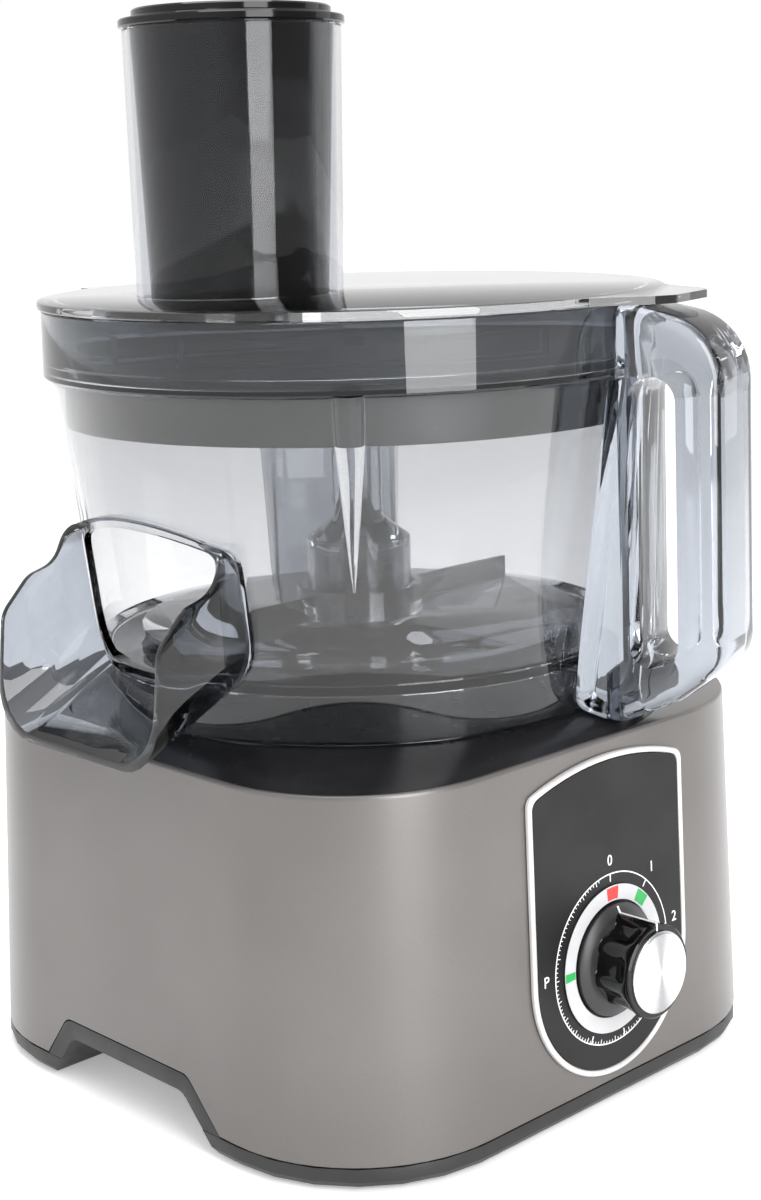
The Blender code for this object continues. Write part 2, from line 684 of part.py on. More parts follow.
def add_rib(bowl, stand):
    """A clear rib outside the wall, wide below the rim and running down to a point."""
    side = empty("rib_side", (0, 0, 0), (0, 0, math.radians(RIB_ANGLE)), stand)
    levels = ((BOWL_HIGH + 1, 5.3, 5.0), (232, 4.9, 5.0), (205, 2.4, 3.4), (183, 0.3, 0.6))
    rings = []
    for height, half, depth in levels:
        wall = bowl_radius(height)
        rings.append(
            [
                (wall - 1.2, -half, height),
                (wall + depth * 0.6, -half * 0.8, height),
                (wall + depth, 0, height),
                (wall + depth * 0.6, half * 0.8, height),
                (wall - 1.2, half, height),
            ]
        )
    combine(bowl, loft("bowl_rib", rings, None, side), "UNION")


def chute_floor(distance):
    """Height of the chute's outside floor at a distance from the axis."""
    return BOWL_FLOOR - 2.0 - CHUTE_SLOPE * (distance - 88.0)


def chute_section(distance, inset, floor):
    """A cross-section of the chute at one distance to the left of the axis."""
    half = CHUTE_HALF - inset
    top = arc((0, 204 - 110 - inset), 110, 90 - 20, 90 + 20, 6)
    shoulder = top[0][1]
    corners = [(-half, floor, 18), (half, floor, 18), (half, shoulder - 1.5, 6)]
    corners += [(y, z, 0) for y, z in top if abs(y) < half - 8]
    corners += [(-half, shoulder - 1.5, 6)]
    return [(-distance, y, z) for y, z in rounded(corners)]


def build_chute(stand, outside):
    stations = (88.0, 134.0)
    shell = [chute_section(x, 0, chute_floor(x)) for x in stations]
    chute = loft("chute", shell, "smoke_clear", stand)
    hollow = [
        chute_section(x, CHUTE_WALL, chute_floor(x) + 1.1 * CHUTE_WALL)
        for x in (stations[0] - 10, stations[1] + 10)
    ]
    combine(chute, loft("chute_hollow", hollow, None, stand))
    combine(chute, outside)
    mouth = rounded(
        [
            (-107.5, 206, 0),
            (-98, 197.8, 2),
            (-104.5, 184.5, 10),
            (-115.5, 181.5, 10),
            (-126.5, 170, 10),
            (-129, 140, 0),
            (-CHUTE_REACH, 120, 0),
            (-150, 120, 0),
            (-150, 206, 0),
        ]
    )
    combine(chute, slab("mouth_cut", mouth, 120, None, stand))


def build_baffle(stand):
    """A wall inside the bowl, held off by two webs, which stops food from circling."""
    start, end, web = 37.0, 70.0, 1.4
    outline = arc((0, 0), 88.0, start, end, 10)
    outline += arc((0, 0), 107.0, end, end - web, 1)
    outline += arc((0, 0), 90.2, end - web, start + web, 10)
    outline += arc((0, 0), 107.0, start + web, start, 1)
    low, high = BOWL_FLOOR + 1, DISC_LOW - 1.5
    baffle = prism("bowl_baffle", outline, low, high, "smoke_clear", stand)
    profile = [(0, high + 1)]
    profile += [(bowl_radius(level) - BOWL_WALL - 0.4, level) for level in (high + 1, low + 2.5)]
    profile += [(bowl_radius(low) - BOWL_WALL - 2.6, low - 0.5), (0, low - 0.5)]
    combine(baffle, turned("bowl_interior", profile, None, stand), "INTERSECT")


def build_handle(handle_side, outside):
    outline = rounded(
        [
            (92, 132, 0),
            (103, 129.4, 0),
            (110, 128.8, 7),
            (131, 138.5, 14),
            (147, 152, 14),
            (147, 264, 24),
            (116, 270.2, 8),
            (92, 270.2, 0),
        ]
    )
    handle = slab("handle", outline, 2 * HANDLE_HALF, "smoke_clear", handle_side)
    edge = handle.modifiers.new("soft_edges", "BEVEL")
    edge.width = 5 * MM
    edge.segments = 2
    edge.limit_method = "ANGLE"
    edge.angle_limit = math.radians(50)
    opening = rounded([(114.4, 147, 7), (131.5, 152, 8), (131.5, 247, 8.5), (114.4, 247, 8.5)])
    combine(handle, slab("finger_gap", opening, 60, None, handle_side))
    combine(handle, outside)
    channel = [
        (ROD_INNER - 3, 280),
        (ROD_OUTER + 0.4, 280),
        (ROD_OUTER + 0.4, 136),
        (106.3, 132.5),
        (106.3, 120),
        (101.9, 120),
        (101.9, 144),
        (ROD_INNER - 3, 149),
    ]
    combine(handle, slab("rod_channel", channel, ROD_WIDTH + 0.8, None, handle_side))
    rod = [
        (ROD_INNER, LID_LOW - GAP),
        (ROD_OUTER, LID_LOW - GAP),
        (ROD_OUTER, 140),
        (105.8, 136.5),
        (105.8, 129.5),
        (102.6, 129.5),
        (102.6, 138.5),
        (ROD_INNER, 143.5),
    ]
    slab("interlock_rod", rod, ROD_WIDTH, "natural_plastic", handle_side)


# ---------------------------------------------------------------- disc, lid, pusher


def build_spindle(stand):
    profile = [
        (0, 254.5),
        (3.2, 254.5),
        (4, 253.5),
        (4, 232),
        (9, 231),
        (9, 192),
        (19, 184),
        (19, 153),
        (16.2, 153),
        (16.2, 180.5),
        (12.6, 180.5),
        (12.6, 152),
        (0, 152),
    ]
    spindle = turned("spindle", profile, "natural_plastic", stand, 24)
    socket = arc((0, 0), COUPLING_RADIUS + 0.5, 0, 300, 5)
    combine(spindle, prism("coupling_socket", socket, 140, COUPLING_HIGH + 1, None, stand))


def build_ejector(stand):
    """A thin plate with two fins, low in the bowl, which sweeps slices into the chute."""
    plate = tube("ejector", 19 + GAP, 80, 153, 155, "smoke_clear", stand, 36)
    combine(plate, tube("ejector_hub", 19 + GAP, 23, 153.5, 166, None, stand, 36), "UNION")
    for index in range(2):
        turn = empty(f"fin_turn_{index + 1}", (0, 0, 0), (0, 0, math.pi * index), stand)
        outline = box_outline(21.5, 78, -1.2, 1.2)
        combine(plate, prism(f"ejector_fin_{index + 1}", outline, 154, 164, None, turn), "UNION")


def build_disc(stand):
    profile = [
        (4.3, DISC_HIGH),
        (DISC_RADIUS - 1, DISC_HIGH),
        (DISC_RADIUS, DISC_HIGH - 1),
        (DISC_RADIUS, DISC_LOW),
        (DISC_RADIUS - 2, DISC_LOW),
        (DISC_RADIUS - 2, DISC_HIGH - 2.5),
        (15, DISC_HIGH - 2.5),
        (15, 232.5),
        (4.3, 232.5),
    ]
    disc = turned("disc_carrier", profile, "dark_grey", stand)
    blade_side = empty("blade_side", (0, 0, 0), (0, 0, math.radians(160)), stand)
    combine(disc, prism("blade_slot", box_outline(20, 97, -9, 9), 240, 256, None, blade_side))
    blade = [(-8.2, 247.6), (8.2, 249.2), (8.2, 250.2), (-8.2, 248.6)]
    rings = [[(x, y, z) for y, z in blade] for x in (20.5, 96.5)]
    loft("slicing_blade", rings, "steel", blade_side)


def build_lid(stand, handle_side):
    profile = [
        (0, LID_HIGH),
        (LID_RADIUS - 1, LID_HIGH),
        (LID_RADIUS, LID_HIGH - 1),
        (LID_RADIUS, LID_LOW),
        (SKIRT_OUTER, LID_LOW),
        (SKIRT_OUTER, SKIRT_LOW),
        (SKIRT_INNER, SKIRT_LOW),
        (SKIRT_INNER, LID_LOW),
        (0, LID_LOW),
    ]
    lid = turned("lid", profile, "smoke_clear", stand)
    half_tongue = [(98, -50, 0), (110, -34, 8), (127, -21, 8), (131.5, -14, 6)]
    tongue = rounded(half_tongue + [(x, -y, radius) for x, y, radius in reversed(half_tongue)])
    combine(lid, prism("lid_tongue", tongue, LID_LOW + 0.1, LID_HIGH - 0.2, None, handle_side), "UNION")
    lug = [(-105, -9), (-105, 9), (-118, 7), (-118, -7)]
    combine(lid, prism("lid_lug", lug, LID_LOW + 0.1, LID_HIGH - 0.2, None, handle_side), "UNION")
    feed = empty("feed_axis", (*FEED, 0), parent=stand)
    drill(lid, "feed_hole", FEED_LOW_RADIUS + GAP, LID_LOW - 5, LID_HIGH + 5, feed, 48)
    return feed


def build_feed(feed):
    profile = [
        (FEED_HIGH_RADIUS, FEED_HIGH),
        (FEED_LOW_RADIUS, LID_HIGH + 1),
        (FEED_LOW_RADIUS, FEED_LOW),
        (FEED_LOW_RADIUS - FEED_WALL, FEED_LOW),
        (FEED_LOW_RADIUS - FEED_WALL, LID_HIGH + 1),
        (FEED_HIGH_RADIUS - FEED_WALL, FEED_HIGH),
    ]
    turned("feed_tube", profile, "smoke_clear", feed, 36)
    cup = [
        (34.5, PUSHER_TOP),
        (35.5, PUSHER_TOP - 1),
        (35.5, 372),
        (40.2, 371.6),
        (40.2, FEED_HIGH + 0.5),
        (36.2, FEED_HIGH + 0.5),
        (35.4, 352),
        (31.5, PUSHER_LOW + 1),
        (30.5, PUSHER_LOW),
        (0, PUSHER_LOW),
        (0, PUSHER_LOW + 2.2),
        (29.4, PUSHER_LOW + 2.2),
        (33.4, 356),
        (33.4, PUSHER_TOP),
    ]
    turned("pusher", cup, "black_gloss", feed, 36)


def build_all():
    stand = empty("bowl_axis", (*AXIS, 0))
    handle_side = empty("handle_side", (0, 0, 0), (0, 0, math.radians(HANDLE_ANGLE)), stand)
    draft = math.atan2(BASE_BOTTOM_HALF - BASE_TOP_HALF, BASE_TOP - PAINT_BOTTOM)
    face = (KNOB_SIDE, -base_half(KNOB_HEIGHT), KNOB_HEIGHT)
    panel = empty("panel_frame", face, (math.pi / 2 - draft, 0, 0), stand)
    motor = empty("motor_axis", (0, MOTOR_Y, 0), parent=stand)

    build_housing(stand, panel)
    tray = build_tray(stand)
    add_vents(tray, stand)
    build_feet(tray, stand)
    build_deck(stand, handle_side)
    build_panel(panel)
    build_knob(panel)
    build_motor(motor)
    build_drive(stand)
    build_electronics(stand)

    outside = bowl_outside(stand)
    build_bowl(stand, handle_side)
    build_chute(stand, outside)
    build_baffle(stand)
    build_handle(handle_side, outside)
    build_spindle(stand)
    build_ejector(stand)
    build_disc(stand)
    feed = build_lid(stand, handle_side)
    build_feed(feed)


build_all()
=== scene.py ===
"""A food processor: smoke-clear bowl with an outlet chute, slicing disc, lid with a feed tube and
pusher, on a painted motor base with a rotary switch. Sizes here are in millimetres, turned to
metres by MM. The bowl's axis is at AXIS, and the switch has its own frame, DIAL."""

import math

import bpy
from mathutils import Matrix, Vector


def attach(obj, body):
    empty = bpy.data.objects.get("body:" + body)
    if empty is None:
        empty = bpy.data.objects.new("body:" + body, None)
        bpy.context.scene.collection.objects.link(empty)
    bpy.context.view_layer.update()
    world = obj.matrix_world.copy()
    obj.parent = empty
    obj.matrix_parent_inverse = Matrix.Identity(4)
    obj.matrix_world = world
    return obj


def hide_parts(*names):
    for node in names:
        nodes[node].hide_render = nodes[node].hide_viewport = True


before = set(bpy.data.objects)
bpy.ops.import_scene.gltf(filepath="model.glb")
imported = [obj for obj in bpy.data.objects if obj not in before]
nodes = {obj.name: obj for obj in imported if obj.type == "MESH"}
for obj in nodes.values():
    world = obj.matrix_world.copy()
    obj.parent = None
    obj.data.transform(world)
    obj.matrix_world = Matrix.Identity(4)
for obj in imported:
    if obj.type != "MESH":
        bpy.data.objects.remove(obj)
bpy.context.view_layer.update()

MM = 0.001
AXIS = (9.0, 16.0)
FEED = (-23.0, 40.0)

# The base: the painted wall's height span, how far it leans in, and its half width at the foot.
PAINT_LOW = 8.0
PAINT_RISE = 118.0
LEAN = 2.3
BASE_HALF = 112.3
BASE_CORNER = 57
DRAFT = math.atan2(LEAN, PAINT_RISE)

# The deck's edge, and the ring where its crown begins.
DECK_HALF = 108.3
DECK_CORNER = 55.3
DECK_ROUND = 110.3
CROWN_START = 98.0

# The front panel: half its width, its top, and the curve of its top edge.
PANEL_HALF = 39.5
PANEL_TOP = 70
PANEL_TOP_RADIUS = 118.0
DIAL_MARK_LEVELS = (2.38, 2.5)
SCALE_LEVELS = (1.45, 1.6)

# The bowl's wall between two heights.
WALL_LOW, WALL_LOW_RADIUS = 147, 96
WALL_HIGH, WALL_HIGH_RADIUS = 246, 109
BOWL_FOOT = 131
BOWL_SHADE_SPAN = 140

# The outlet, to the left of the bowl.
CHUTE_NEAR, CHUTE_FAR = 88, 134
CHUTE_FLOOR = 148
CHUTE_SLOPE = 0.457
CHUTE_HALF = 44

HANDLE_HALF = 16.5
ROD_HALF = 1.9
LID_SKIRT_INSIDE = 106.2
DIAL = (
    Matrix.Translation(((AXIS[0] + 6) * MM, (AXIS[1] - 111.46) * MM, 51 * MM))
    @ Matrix.Rotation(math.pi / 2 - DRAFT, 4, "X")
)
HANDLE_TURN = math.radians(286)
RIB_TURN = math.radians(226)
BLADE_TURN = math.radians(160)
RING_POINTS = 144
TURN_STEPS = 120


# ---------------------------------------------------------------- camera, light and floor


def stand_camera():
    """A camera in front and to the left of the base, a little above the lid."""
    distance, height = 750.0, 319.2
    # The lens is stated for a frame 1200 units high, and turned to the sensor's millimetres.
    focal, frame_height, sensor = 2072.25, 1200, 36
    azimuth, yaw, pitch, roll = (math.radians(value) for value in (43, -0.74, 6.11, -1.58))
    left, ahead = math.sin(azimuth) * distance, math.cos(azimuth) * distance
    place = Vector((AXIS[0] - left, AXIS[1] - ahead, height))
    level = Matrix.Rotation(yaw, 3, "Z") @ Vector((math.sin(azimuth), math.cos(azimuth), 0))
    right = level.cross((0, 0, 1))
    forward = level * math.cos(pitch) - Vector((0, 0, math.sin(pitch)))
    up = right.cross(forward)
    rolled = right * math.cos(roll) + up * math.sin(roll)
    upright = up * math.cos(roll) - right * math.sin(roll)
    data = bpy.data.cameras.new("camera")
    data.sensor_fit = "VERTICAL"
    data.sensor_height = sensor
    data.lens = focal * sensor / frame_height
    data.shift_y = -0.18
    data.clip_start = 0.01
    camera = bpy.data.objects.new("camera", data)
    turn = Matrix((rolled, upright, -forward)).transposed().to_4x4()
    camera.matrix_world = Matrix.Translation(place * MM) @ turn
    bpy.context.scene.collection.objects.link(camera)
    bpy.context.scene.camera = camera


def softbox(name, place, target, size, power):
    """An area light, aimed at a point. Places in metres."""
    data = bpy.data.lights.new(name, "AREA")
    data.shape = "RECTANGLE"
    data.size, data.size_y = size
    data.energy = power
    lamp = bpy.data.objects.new(name, data)
    aim = (Vector(target) - Vector(place)).to_track_quat("-Z", "Y").to_matrix().to_4x4()
    lamp.matrix_world = Matrix.Translation(place) @ aim
    bpy.context.scene.collection.objects.link(lamp)


def light_studio():
    """A white wall behind, a dimmer room in front, and three soft boxes."""
    world = bpy.data.worlds.new("studio")
    world.use_nodes = True
    tree = world.node_tree
    backdrop = tree.nodes["Background"]
    backdrop.inputs["Color"].default_value = (1.0, 1.0, 1.0, 1.0)
    towards = add(tree, "TexCoord").outputs["Generated"]
    wall = {0: towards, 1: (-0.3, 0.93, 0.2)}
    facing = add(tree, "VectorMath", {"operation": "DOT_PRODUCT"}, wall).outputs["Value"]
    spread = {"Value": facing, "From Min": -0.95, "From Max": -0.1, "To Min": 0.36, "To Max": 1.0}
    strength = add(tree, "MapRange", {"interpolation_type": "SMOOTHSTEP"}, spread)
    tree.links.new(strength.outputs["Result"], backdrop.inputs["Strength"])
    bpy.context.scene.world = world
    bpy.context.scene.view_settings.view_transform = "Standard"
    softbox("key", (-0.3, -1.3, 0.7), (0, 0, 0.15), (0.7, 1.4), 22)
    softbox("fill", (1.2, -0.5, 0.5), (0, 0, 0.15), (0.6, 0.9), 1.5)
    softbox("top", (0.1, 0.2, 1.5), (0, 0, 0.2), (0.9, 0.9), 13)


# ---------------------------------------------------------------- materials


def linear(code):
    """An sRGB hex colour as linear RGBA."""
    values = [int(code[start : start + 2], 16) / 255 for start in (1, 3, 5)]
    curve = [v / 12.92 if v <= 0.04045 else ((v + 0.055) / 1.055) ** 2.4 for v in values]
    return (*curve, 1.0)


def add(tree, kind, settings=None, inputs=None):
    """One shader node with its settings, and its inputs by name or number, as values or links."""
    made = tree.nodes.new("ShaderNode" + kind)
    for key, value in (settings or {}).items():
        setattr(made, key, value)
    for key, value in (inputs or {}).items():
        if isinstance(value, bpy.types.NodeSocket):
            tree.links.new(value, made.inputs[key])
        else:
            made.inputs[key].default_value = value
    return made


def start(name, **shader_values):
    """A material with its shader's constants set, and its tree, shader and place output."""
    made = bpy.data.materials.new(name)
    made.use_nodes = True
    tree = made.node_tree
    shader = tree.nodes["Principled BSDF"]
    for key, value in shader_values.items():
        shader.inputs[key.replace("_", " ")].default_value = value
    place = add(tree, "TexCoord").outputs["Object"]
    return made, tree, shader, place


def noise(tree, place, size, detail=2.0, stretch=None):
    """Noise whose features are about size millimetres across, longer along an axis if stretched."""
    if stretch:
        place = add(tree, "Mapping", inputs={"Vector": place, "Scale": stretch}).outputs["Vector"]
    settings = {"Vector": place, "Scale": 1 / (size * MM), "Detail": detail}
    return add(tree, "TexNoise", inputs=settings).outputs["Fac"]


def shades(tree, factor, low, high, spread=(0.35, 0.65)):
    """Two colours mixed by a factor."""
    ramp = add(tree, "ValToRGB", inputs={"Fac": factor})
    stops = ramp.color_ramp.elements
    stops[0].position, stops[1].position = spread
    stops[0].color, stops[1].color = linear(low), linear(high)
    return ramp.outputs["Color"]


def between(tree, factor, low, high):
    """A number between low and high by a factor."""
    settings = {"Value": factor, "From Min": 0.3, "From Max": 0.7, "To Min": low, "To Max": high}
    return add(tree, "MapRange", inputs=settings).outputs["Result"]


def rough_up(tree, shader, factor, height):
    """Bump of a height in millimetres."""
    settings = {"Height": factor, "Distance": height * MM, "Strength": 1.0}
    tree.links.new(add(tree, "Bump", inputs=settings).outputs["Normal"], shader.inputs["Normal"])


def moulded(name, low, high, roughness, grain, height, **values):
    """A moulded plastic or rubber: faint drift of shade, and a fine spark-eroded grain."""
    made, tree, shader, place = start(name, **values)
    drift = noise(tree, place, 25, 3)
    tree.links.new(shades(tree, drift, low, high), shader.inputs["Base Color"])
    sheen = noise(tree, place, 9, 2)
    tree.links.new(between(tree, sheen, *roughness), shader.inputs["Roughness"])
    rough_up(tree, shader, noise(tree, place, grain, 3), height)
    return made


def metal(name, low, high, roughness, grain, stretch, height):
    """A bare metal with tool or brush marks drawn along one axis."""
    made, tree, shader, place = start(name, Metallic=1.0)
    marks = noise(tree, place, grain, 3, stretch)
    tree.links.new(shades(tree, marks, low, high), shader.inputs["Base Color"])
    tree.links.new(between(tree, marks, *roughness), shader.inputs["Roughness"])
    rough_up(tree, shader, marks, height)
    return made


def lacquered_abs():
    """Metallic taupe lacquer on ABS: satin, with a fine aluminium flake and slight orange peel.
    The flake is drawn at 0.5 mm, coarser than the real 0.05 mm, so that it shows."""
    values = {"Metallic": 0.5, "Coat_Weight": 0.25, "Coat_Roughness": 0.22}
    made, tree, shader, place = start("metallic_lacquer_on_abs", **values)
    flake = noise(tree, place, 0.5, 1)
    drift = noise(tree, place, 60, 2)
    terms = {0: flake, 1: 0.5, 2: drift}
    mixed = add(tree, "Math", {"operation": "MULTIPLY_ADD"}, terms).outputs[0]
    colour = shades(tree, mixed, "#625f5d", "#6d6a68", (0.4, 1.1))
    tree.links.new(colour, shader.inputs["Base Color"])
    tree.links.new(between(tree, flake, 0.3, 0.38), shader.inputs["Roughness"])
    rough_up(tree, shader, noise(tree, place, 1.6, 2), 0.003)
    return made


def flow_marks(tree, shader, place, flow, roughness):
    """The faint haze and ripple of a moulded clear plastic."""
    tree.links.new(between(tree, flow, *roughness), shader.inputs["Roughness"])
    rough_up(tree, shader, noise(tree, place, 18, 1), 0.003)


def clear_plastic(name, tint, roughness, **more):
    """SAN, moulded clear with a grey tint: sharp reflections, a little flow haze."""
    values = {"IOR": 1.5, "Transmission_Weight": 1.0} | more
    made, tree, shader, place = start(name, **values)
    flow = noise(tree, place, 30, 2, (1, 1, 0.4))
    tree.links.new(shades(tree, flow, *tint), shader.inputs["Base Color"])
    flow_marks(tree, shader, place, flow, roughness)
    return made


def banded_plastic():
    """The bowl's SAN: pale in the thin wall, deeper grey at the foot and the upright rim, partly
    for thicker plastic there and partly painted shade.
    """
    made, tree, shader, place = start("clear_san_thick_and_painted_shade_ends", IOR=1.5, Transmission_Weight=1.0)
    height = add(tree, "SeparateXYZ", inputs={"Vector": place}).outputs["Z"]
    span = {"From Min": BOWL_FOOT * MM, "From Max": (BOWL_FOOT + BOWL_SHADE_SPAN) * MM}
    share = add(tree, "MapRange", inputs={"Value": height, **span}).outputs["Result"]
    # Painted shade, with some real tint of thicker plastic: the base colour darkens by height at
    # the foot and at the upright rim.
    ramp = add(tree, "ValToRGB", inputs={"Fac": share})
    stops = ramp.color_ramp.elements
    stops[0].position, stops[0].color = (149 - BOWL_FOOT) / BOWL_SHADE_SPAN, linear("#8d9095")
    stops[1].position, stops[1].color = (248 - BOWL_FOOT) / BOWL_SHADE_SPAN, linear("#9da2a8")
    for level in (152, 244):
        stops.new((level - BOWL_FOOT) / BOWL_SHADE_SPAN).color = linear("#d5d6d8")
    tree.links.new(ramp.outputs["Color"], shader.inputs["Base Color"])
    flow_marks(tree, shader, place, noise(tree, place, 30, 2, (1, 1, 0.4)), (0.0, 0.02))
    return made


def spun_aluminium():
    """Anodised aluminium, spun: the tool's rings, and a painted highlight in the base colour that
    fans out from the middle, beside the real anisotropic sheen.
    """
    made, tree, shader, place = start("spun_anodised_aluminium", Metallic=1.0, Anisotropic=0.85)
    centre = DIAL @ Vector((0, 0, 22 * MM))
    centred = add(tree, "Mapping", inputs={"Vector": place, "Location": -centre}).outputs["Vector"]
    parts = add(tree, "SeparateXYZ", inputs={"Vector": centred})
    flat = add(
        tree, "CombineXYZ", inputs={"X": parts.outputs["X"], "Y": parts.outputs["Z"]}
    ).outputs["Vector"]
    rings = add(
        tree,
        "TexWave",
        {"wave_type": "RINGS", "rings_direction": "SPHERICAL"},
        {"Vector": flat, "Scale": 330.0, "Distortion": 0.4, "Detail": 1.0},
    ).outputs["Fac"]
    # A painted highlight: the base colour is lighter in two opposite fans about the cap's centre,
    # set by the angle around it.
    angle = add(
        tree, "Math", {"operation": "ARCTAN2"}, {0: parts.outputs["X"], 1: parts.outputs["Z"]}
    ).outputs[0]
    fan = add(tree, "Math", {"operation": "SINE"}, {0: angle}).outputs[0]
    painted_glint = add(tree, "Math", {"operation": "ABSOLUTE"}, {0: fan}).outputs[0]
    colour = shades(tree, painted_glint, "#a7a7a9", "#f4f4f5", (0.1, 0.75))
    tree.links.new(colour, shader.inputs["Base Color"])
    tree.links.new(between(tree, rings, 0.2, 0.3), shader.inputs["Roughness"])
    rough_up(tree, shader, rings, 0.01)
    tangent = add(tree, "Tangent", {"direction_type": "RADIAL", "axis": "Y"}).outputs["Tangent"]
    tree.links.new(tangent, shader.inputs["Tangent"])
    return made


def laminated(name, low, high, pitch):
    """Stacked sheets or wound wire, seen as fine level lines, pitch millimetres apart."""
    made, tree, shader, place = start(name, Metallic=0.9)
    lines = add(
        tree,
        "TexWave",
        {"bands_direction": "Z"},
        {"Vector": place, "Scale": 0.314 / (pitch * MM), "Distortion": 0.3},
    ).outputs["Fac"]
    tree.links.new(shades(tree, lines, low, high), shader.inputs["Base Color"])
    tree.links.new(between(tree, lines, 0.35, 0.6), shader.inputs["Roughness"])
    rough_up(tree, shader, lines, 0.1)
    return made


def make_finishes():
    """Each material, named for what the real one is."""
    return {
        "paint": lacquered_abs(),
        # Black ABS with a satin grain, on the pan, the deck and the panel.
        "pan": moulded("satin_black_abs", "#1d1d1e", "#252526", (0.4, 0.5), 0.5, 0.02),
        "deck": moulded("semi_gloss_black_abs", "#18181a", "#1e1e20", (0.2, 0.28), 0.8, 0.003),
        "panel": moulded(
            "charcoal_abs", "#1c1c1d", "#222223", (0.4, 0.48), 0.5, 0.003, Specular_IOR_Level=0.2
        ),
        # Polished black ABS: the pusher and knob show sharp upright highlights.
        "gloss": moulded(
            *("polished_black_abs", "#050505", "#0a0a0b", (0.06, 0.1), 6, 0.002),
            Specular_IOR_Level=0.35,
        ),
        "carrier": moulded(
            "charcoal_polypropylene", "#29292a", "#303031", (0.32, 0.42), 0.7, 0.004
        ),
        "print": moulded("grey_pad_print", "#b9b9bb", "#c6c6c8", (0.45, 0.55), 0.6, 0.004),
        "white": moulded("white_pad_print", "#e9e9e9", "#f4f4f4", (0.45, 0.55), 0.6, 0.004),
        "red": moulded("red_pad_print", "#c2302a", "#d03c34", (0.45, 0.55), 0.6, 0.004),
        "green": moulded("green_pad_print", "#1f9a4c", "#2aa858", (0.45, 0.55), 0.6, 0.004),
        "trim": moulded(
            "silver_lacquered_abs", "#cbc9c8", "#d6d4d3", (0.3, 0.38), 0.8, 0.001, Metallic=0.35
        ),
        "nylon": moulded("natural_nylon", "#cfcbc2", "#dbd7ce", (0.38, 0.5), 0.8, 0.02),
        "rubber": moulded("black_nitrile_rubber", "#151515", "#1f1f1f", (0.7, 0.85), 0.7, 0.05),
        "board": moulded("solder_masked_fibreglass", "#0f4a2a", "#176236", (0.3, 0.45), 1.2, 0.02),
        # SAN in several depths of grey: the loop and outlet darkest, the small clear parts palest.
        "smoke": clear_plastic("smoke_tinted_san", ("#9ba0a8", "#a6abb3"), (0.0, 0.02)),
        "clear": clear_plastic("clear_san", ("#dcdee1", "#e4e5e8"), (0.0, 0.02)),
        # The thin feed tube mirrors less than a thick wall, so its index is set low.
        "thin": clear_plastic("thin_walled_san", ("#dcdee1", "#e4e5e8"), (0.0, 0.02), IOR=1.3),
        "bowl": banded_plastic(),
        # The lid has a thin polished coat, so that it mirrors the wall behind at a low angle.
        "lid": clear_plastic(
            "light_smoke_san", ("#babbbd", "#c4c5c6"), (0.0, 0.03), Coat_Weight=0.1
        ),
        "steel": metal(
            "brushed_stainless_steel", "#b4b4b6", "#d2d2d4", (0.18, 0.34), 0.6, (1, 8, 8), 0.01
        ),
        "ground": metal(
            "ground_steel_shaft", "#8e8e91", "#b2b2b5", (0.22, 0.36), 0.7, (1, 1, 7), 0.01
        ),
        "cast": metal(
            "die_cast_aluminium", "#9b9b9d", "#b8b8ba", (0.4, 0.55), 1.8, (1, 1, 1), 0.06
        ),
        "spun": spun_aluminium(),
        "iron": laminated("laminated_silicon_steel", "#3a3836", "#6c6966", 1.0),
        "copper": laminated("enamelled_copper_winding", "#7c3f1e", "#c77b45", 0.9),
    }


# ---------------------------------------------------------------- modelling by hand


def deselect():
    if bpy.context.mode != "OBJECT":
        bpy.ops.object.mode_set(mode="OBJECT")
    bpy.ops.object.select_all(action="DESELECT")


def take(piece):
    """Makes one object the selected and active one."""
    deselect()
    piece.select_set(True)
    bpy.context.view_layer.objects.active = piece


def edit(piece):
    """Edit mode, in point selection, with everything selected."""
    take(piece)
    bpy.ops.object.mode_set(mode="EDIT")
    bpy.ops.mesh.select_mode(type="VERT")
    bpy.ops.mesh.select_all(action="SELECT")


def select_points(piece, test):
    """In edit mode, with only the points chosen by a test of their place in millimetres."""
    edit(piece)
    bpy.ops.mesh.select_all(action="DESELECT")
    bpy.ops.object.mode_set(mode="OBJECT")
    for point in piece.data.vertices:
        point.select = test(point.co / MM)
    bpy.ops.object.mode_set(mode="EDIT")


def select_range(piece, ranges):
    """In edit mode, with only the points in some ranges of index."""
    edit(piece)
    bpy.ops.mesh.select_all(action="DESELECT")
    bpy.ops.object.mode_set(mode="OBJECT")
    for low, high in ranges:
        for index in range(low, high):
            piece.data.vertices[index].select = True
    bpy.ops.object.mode_set(mode="EDIT")


def settle(piece):
    """Back to object mode, with the place in the mesh."""
    take(piece)
    bpy.ops.object.transform_apply(location=True, rotation=True, scale=True)
    return piece


def close_up(piece):
    """Merges doubles and turns the faces outwards."""
    edit(piece)
    bpy.ops.mesh.remove_doubles(threshold=1e-6)
    bpy.ops.mesh.normals_make_consistent(inside=False)
    return settle(piece)


def trace(name, points, closed=True):
    """One point, pulled from corner to corner."""
    deselect()
    spots = [Vector(point) * MM for point in points]
    bpy.ops.mesh.primitive_plane_add(size=MM, location=spots[0])
    piece = bpy.context.object
    piece.name = name
    piece.data.name = name
    bpy.ops.object.mode_set(mode="EDIT")
    bpy.ops.mesh.merge(type="CENTER")
    for here, there in zip(spots, spots[1:]):
        bpy.ops.mesh.extrude_vertices_move(TRANSFORM_OT_translate={"value": there - here})
    if closed:
        last = len(spots) - 1
        select_range(piece, [(0, 1), (last, last + 1)])
        bpy.ops.mesh.edge_face_add()
    return settle(piece)


def joined(pieces):
    deselect()
    for piece in pieces:
        piece.select_set(True)
    bpy.context.view_layer.objects.active = pieces[0]
    bpy.ops.object.join()
    return pieces[0]


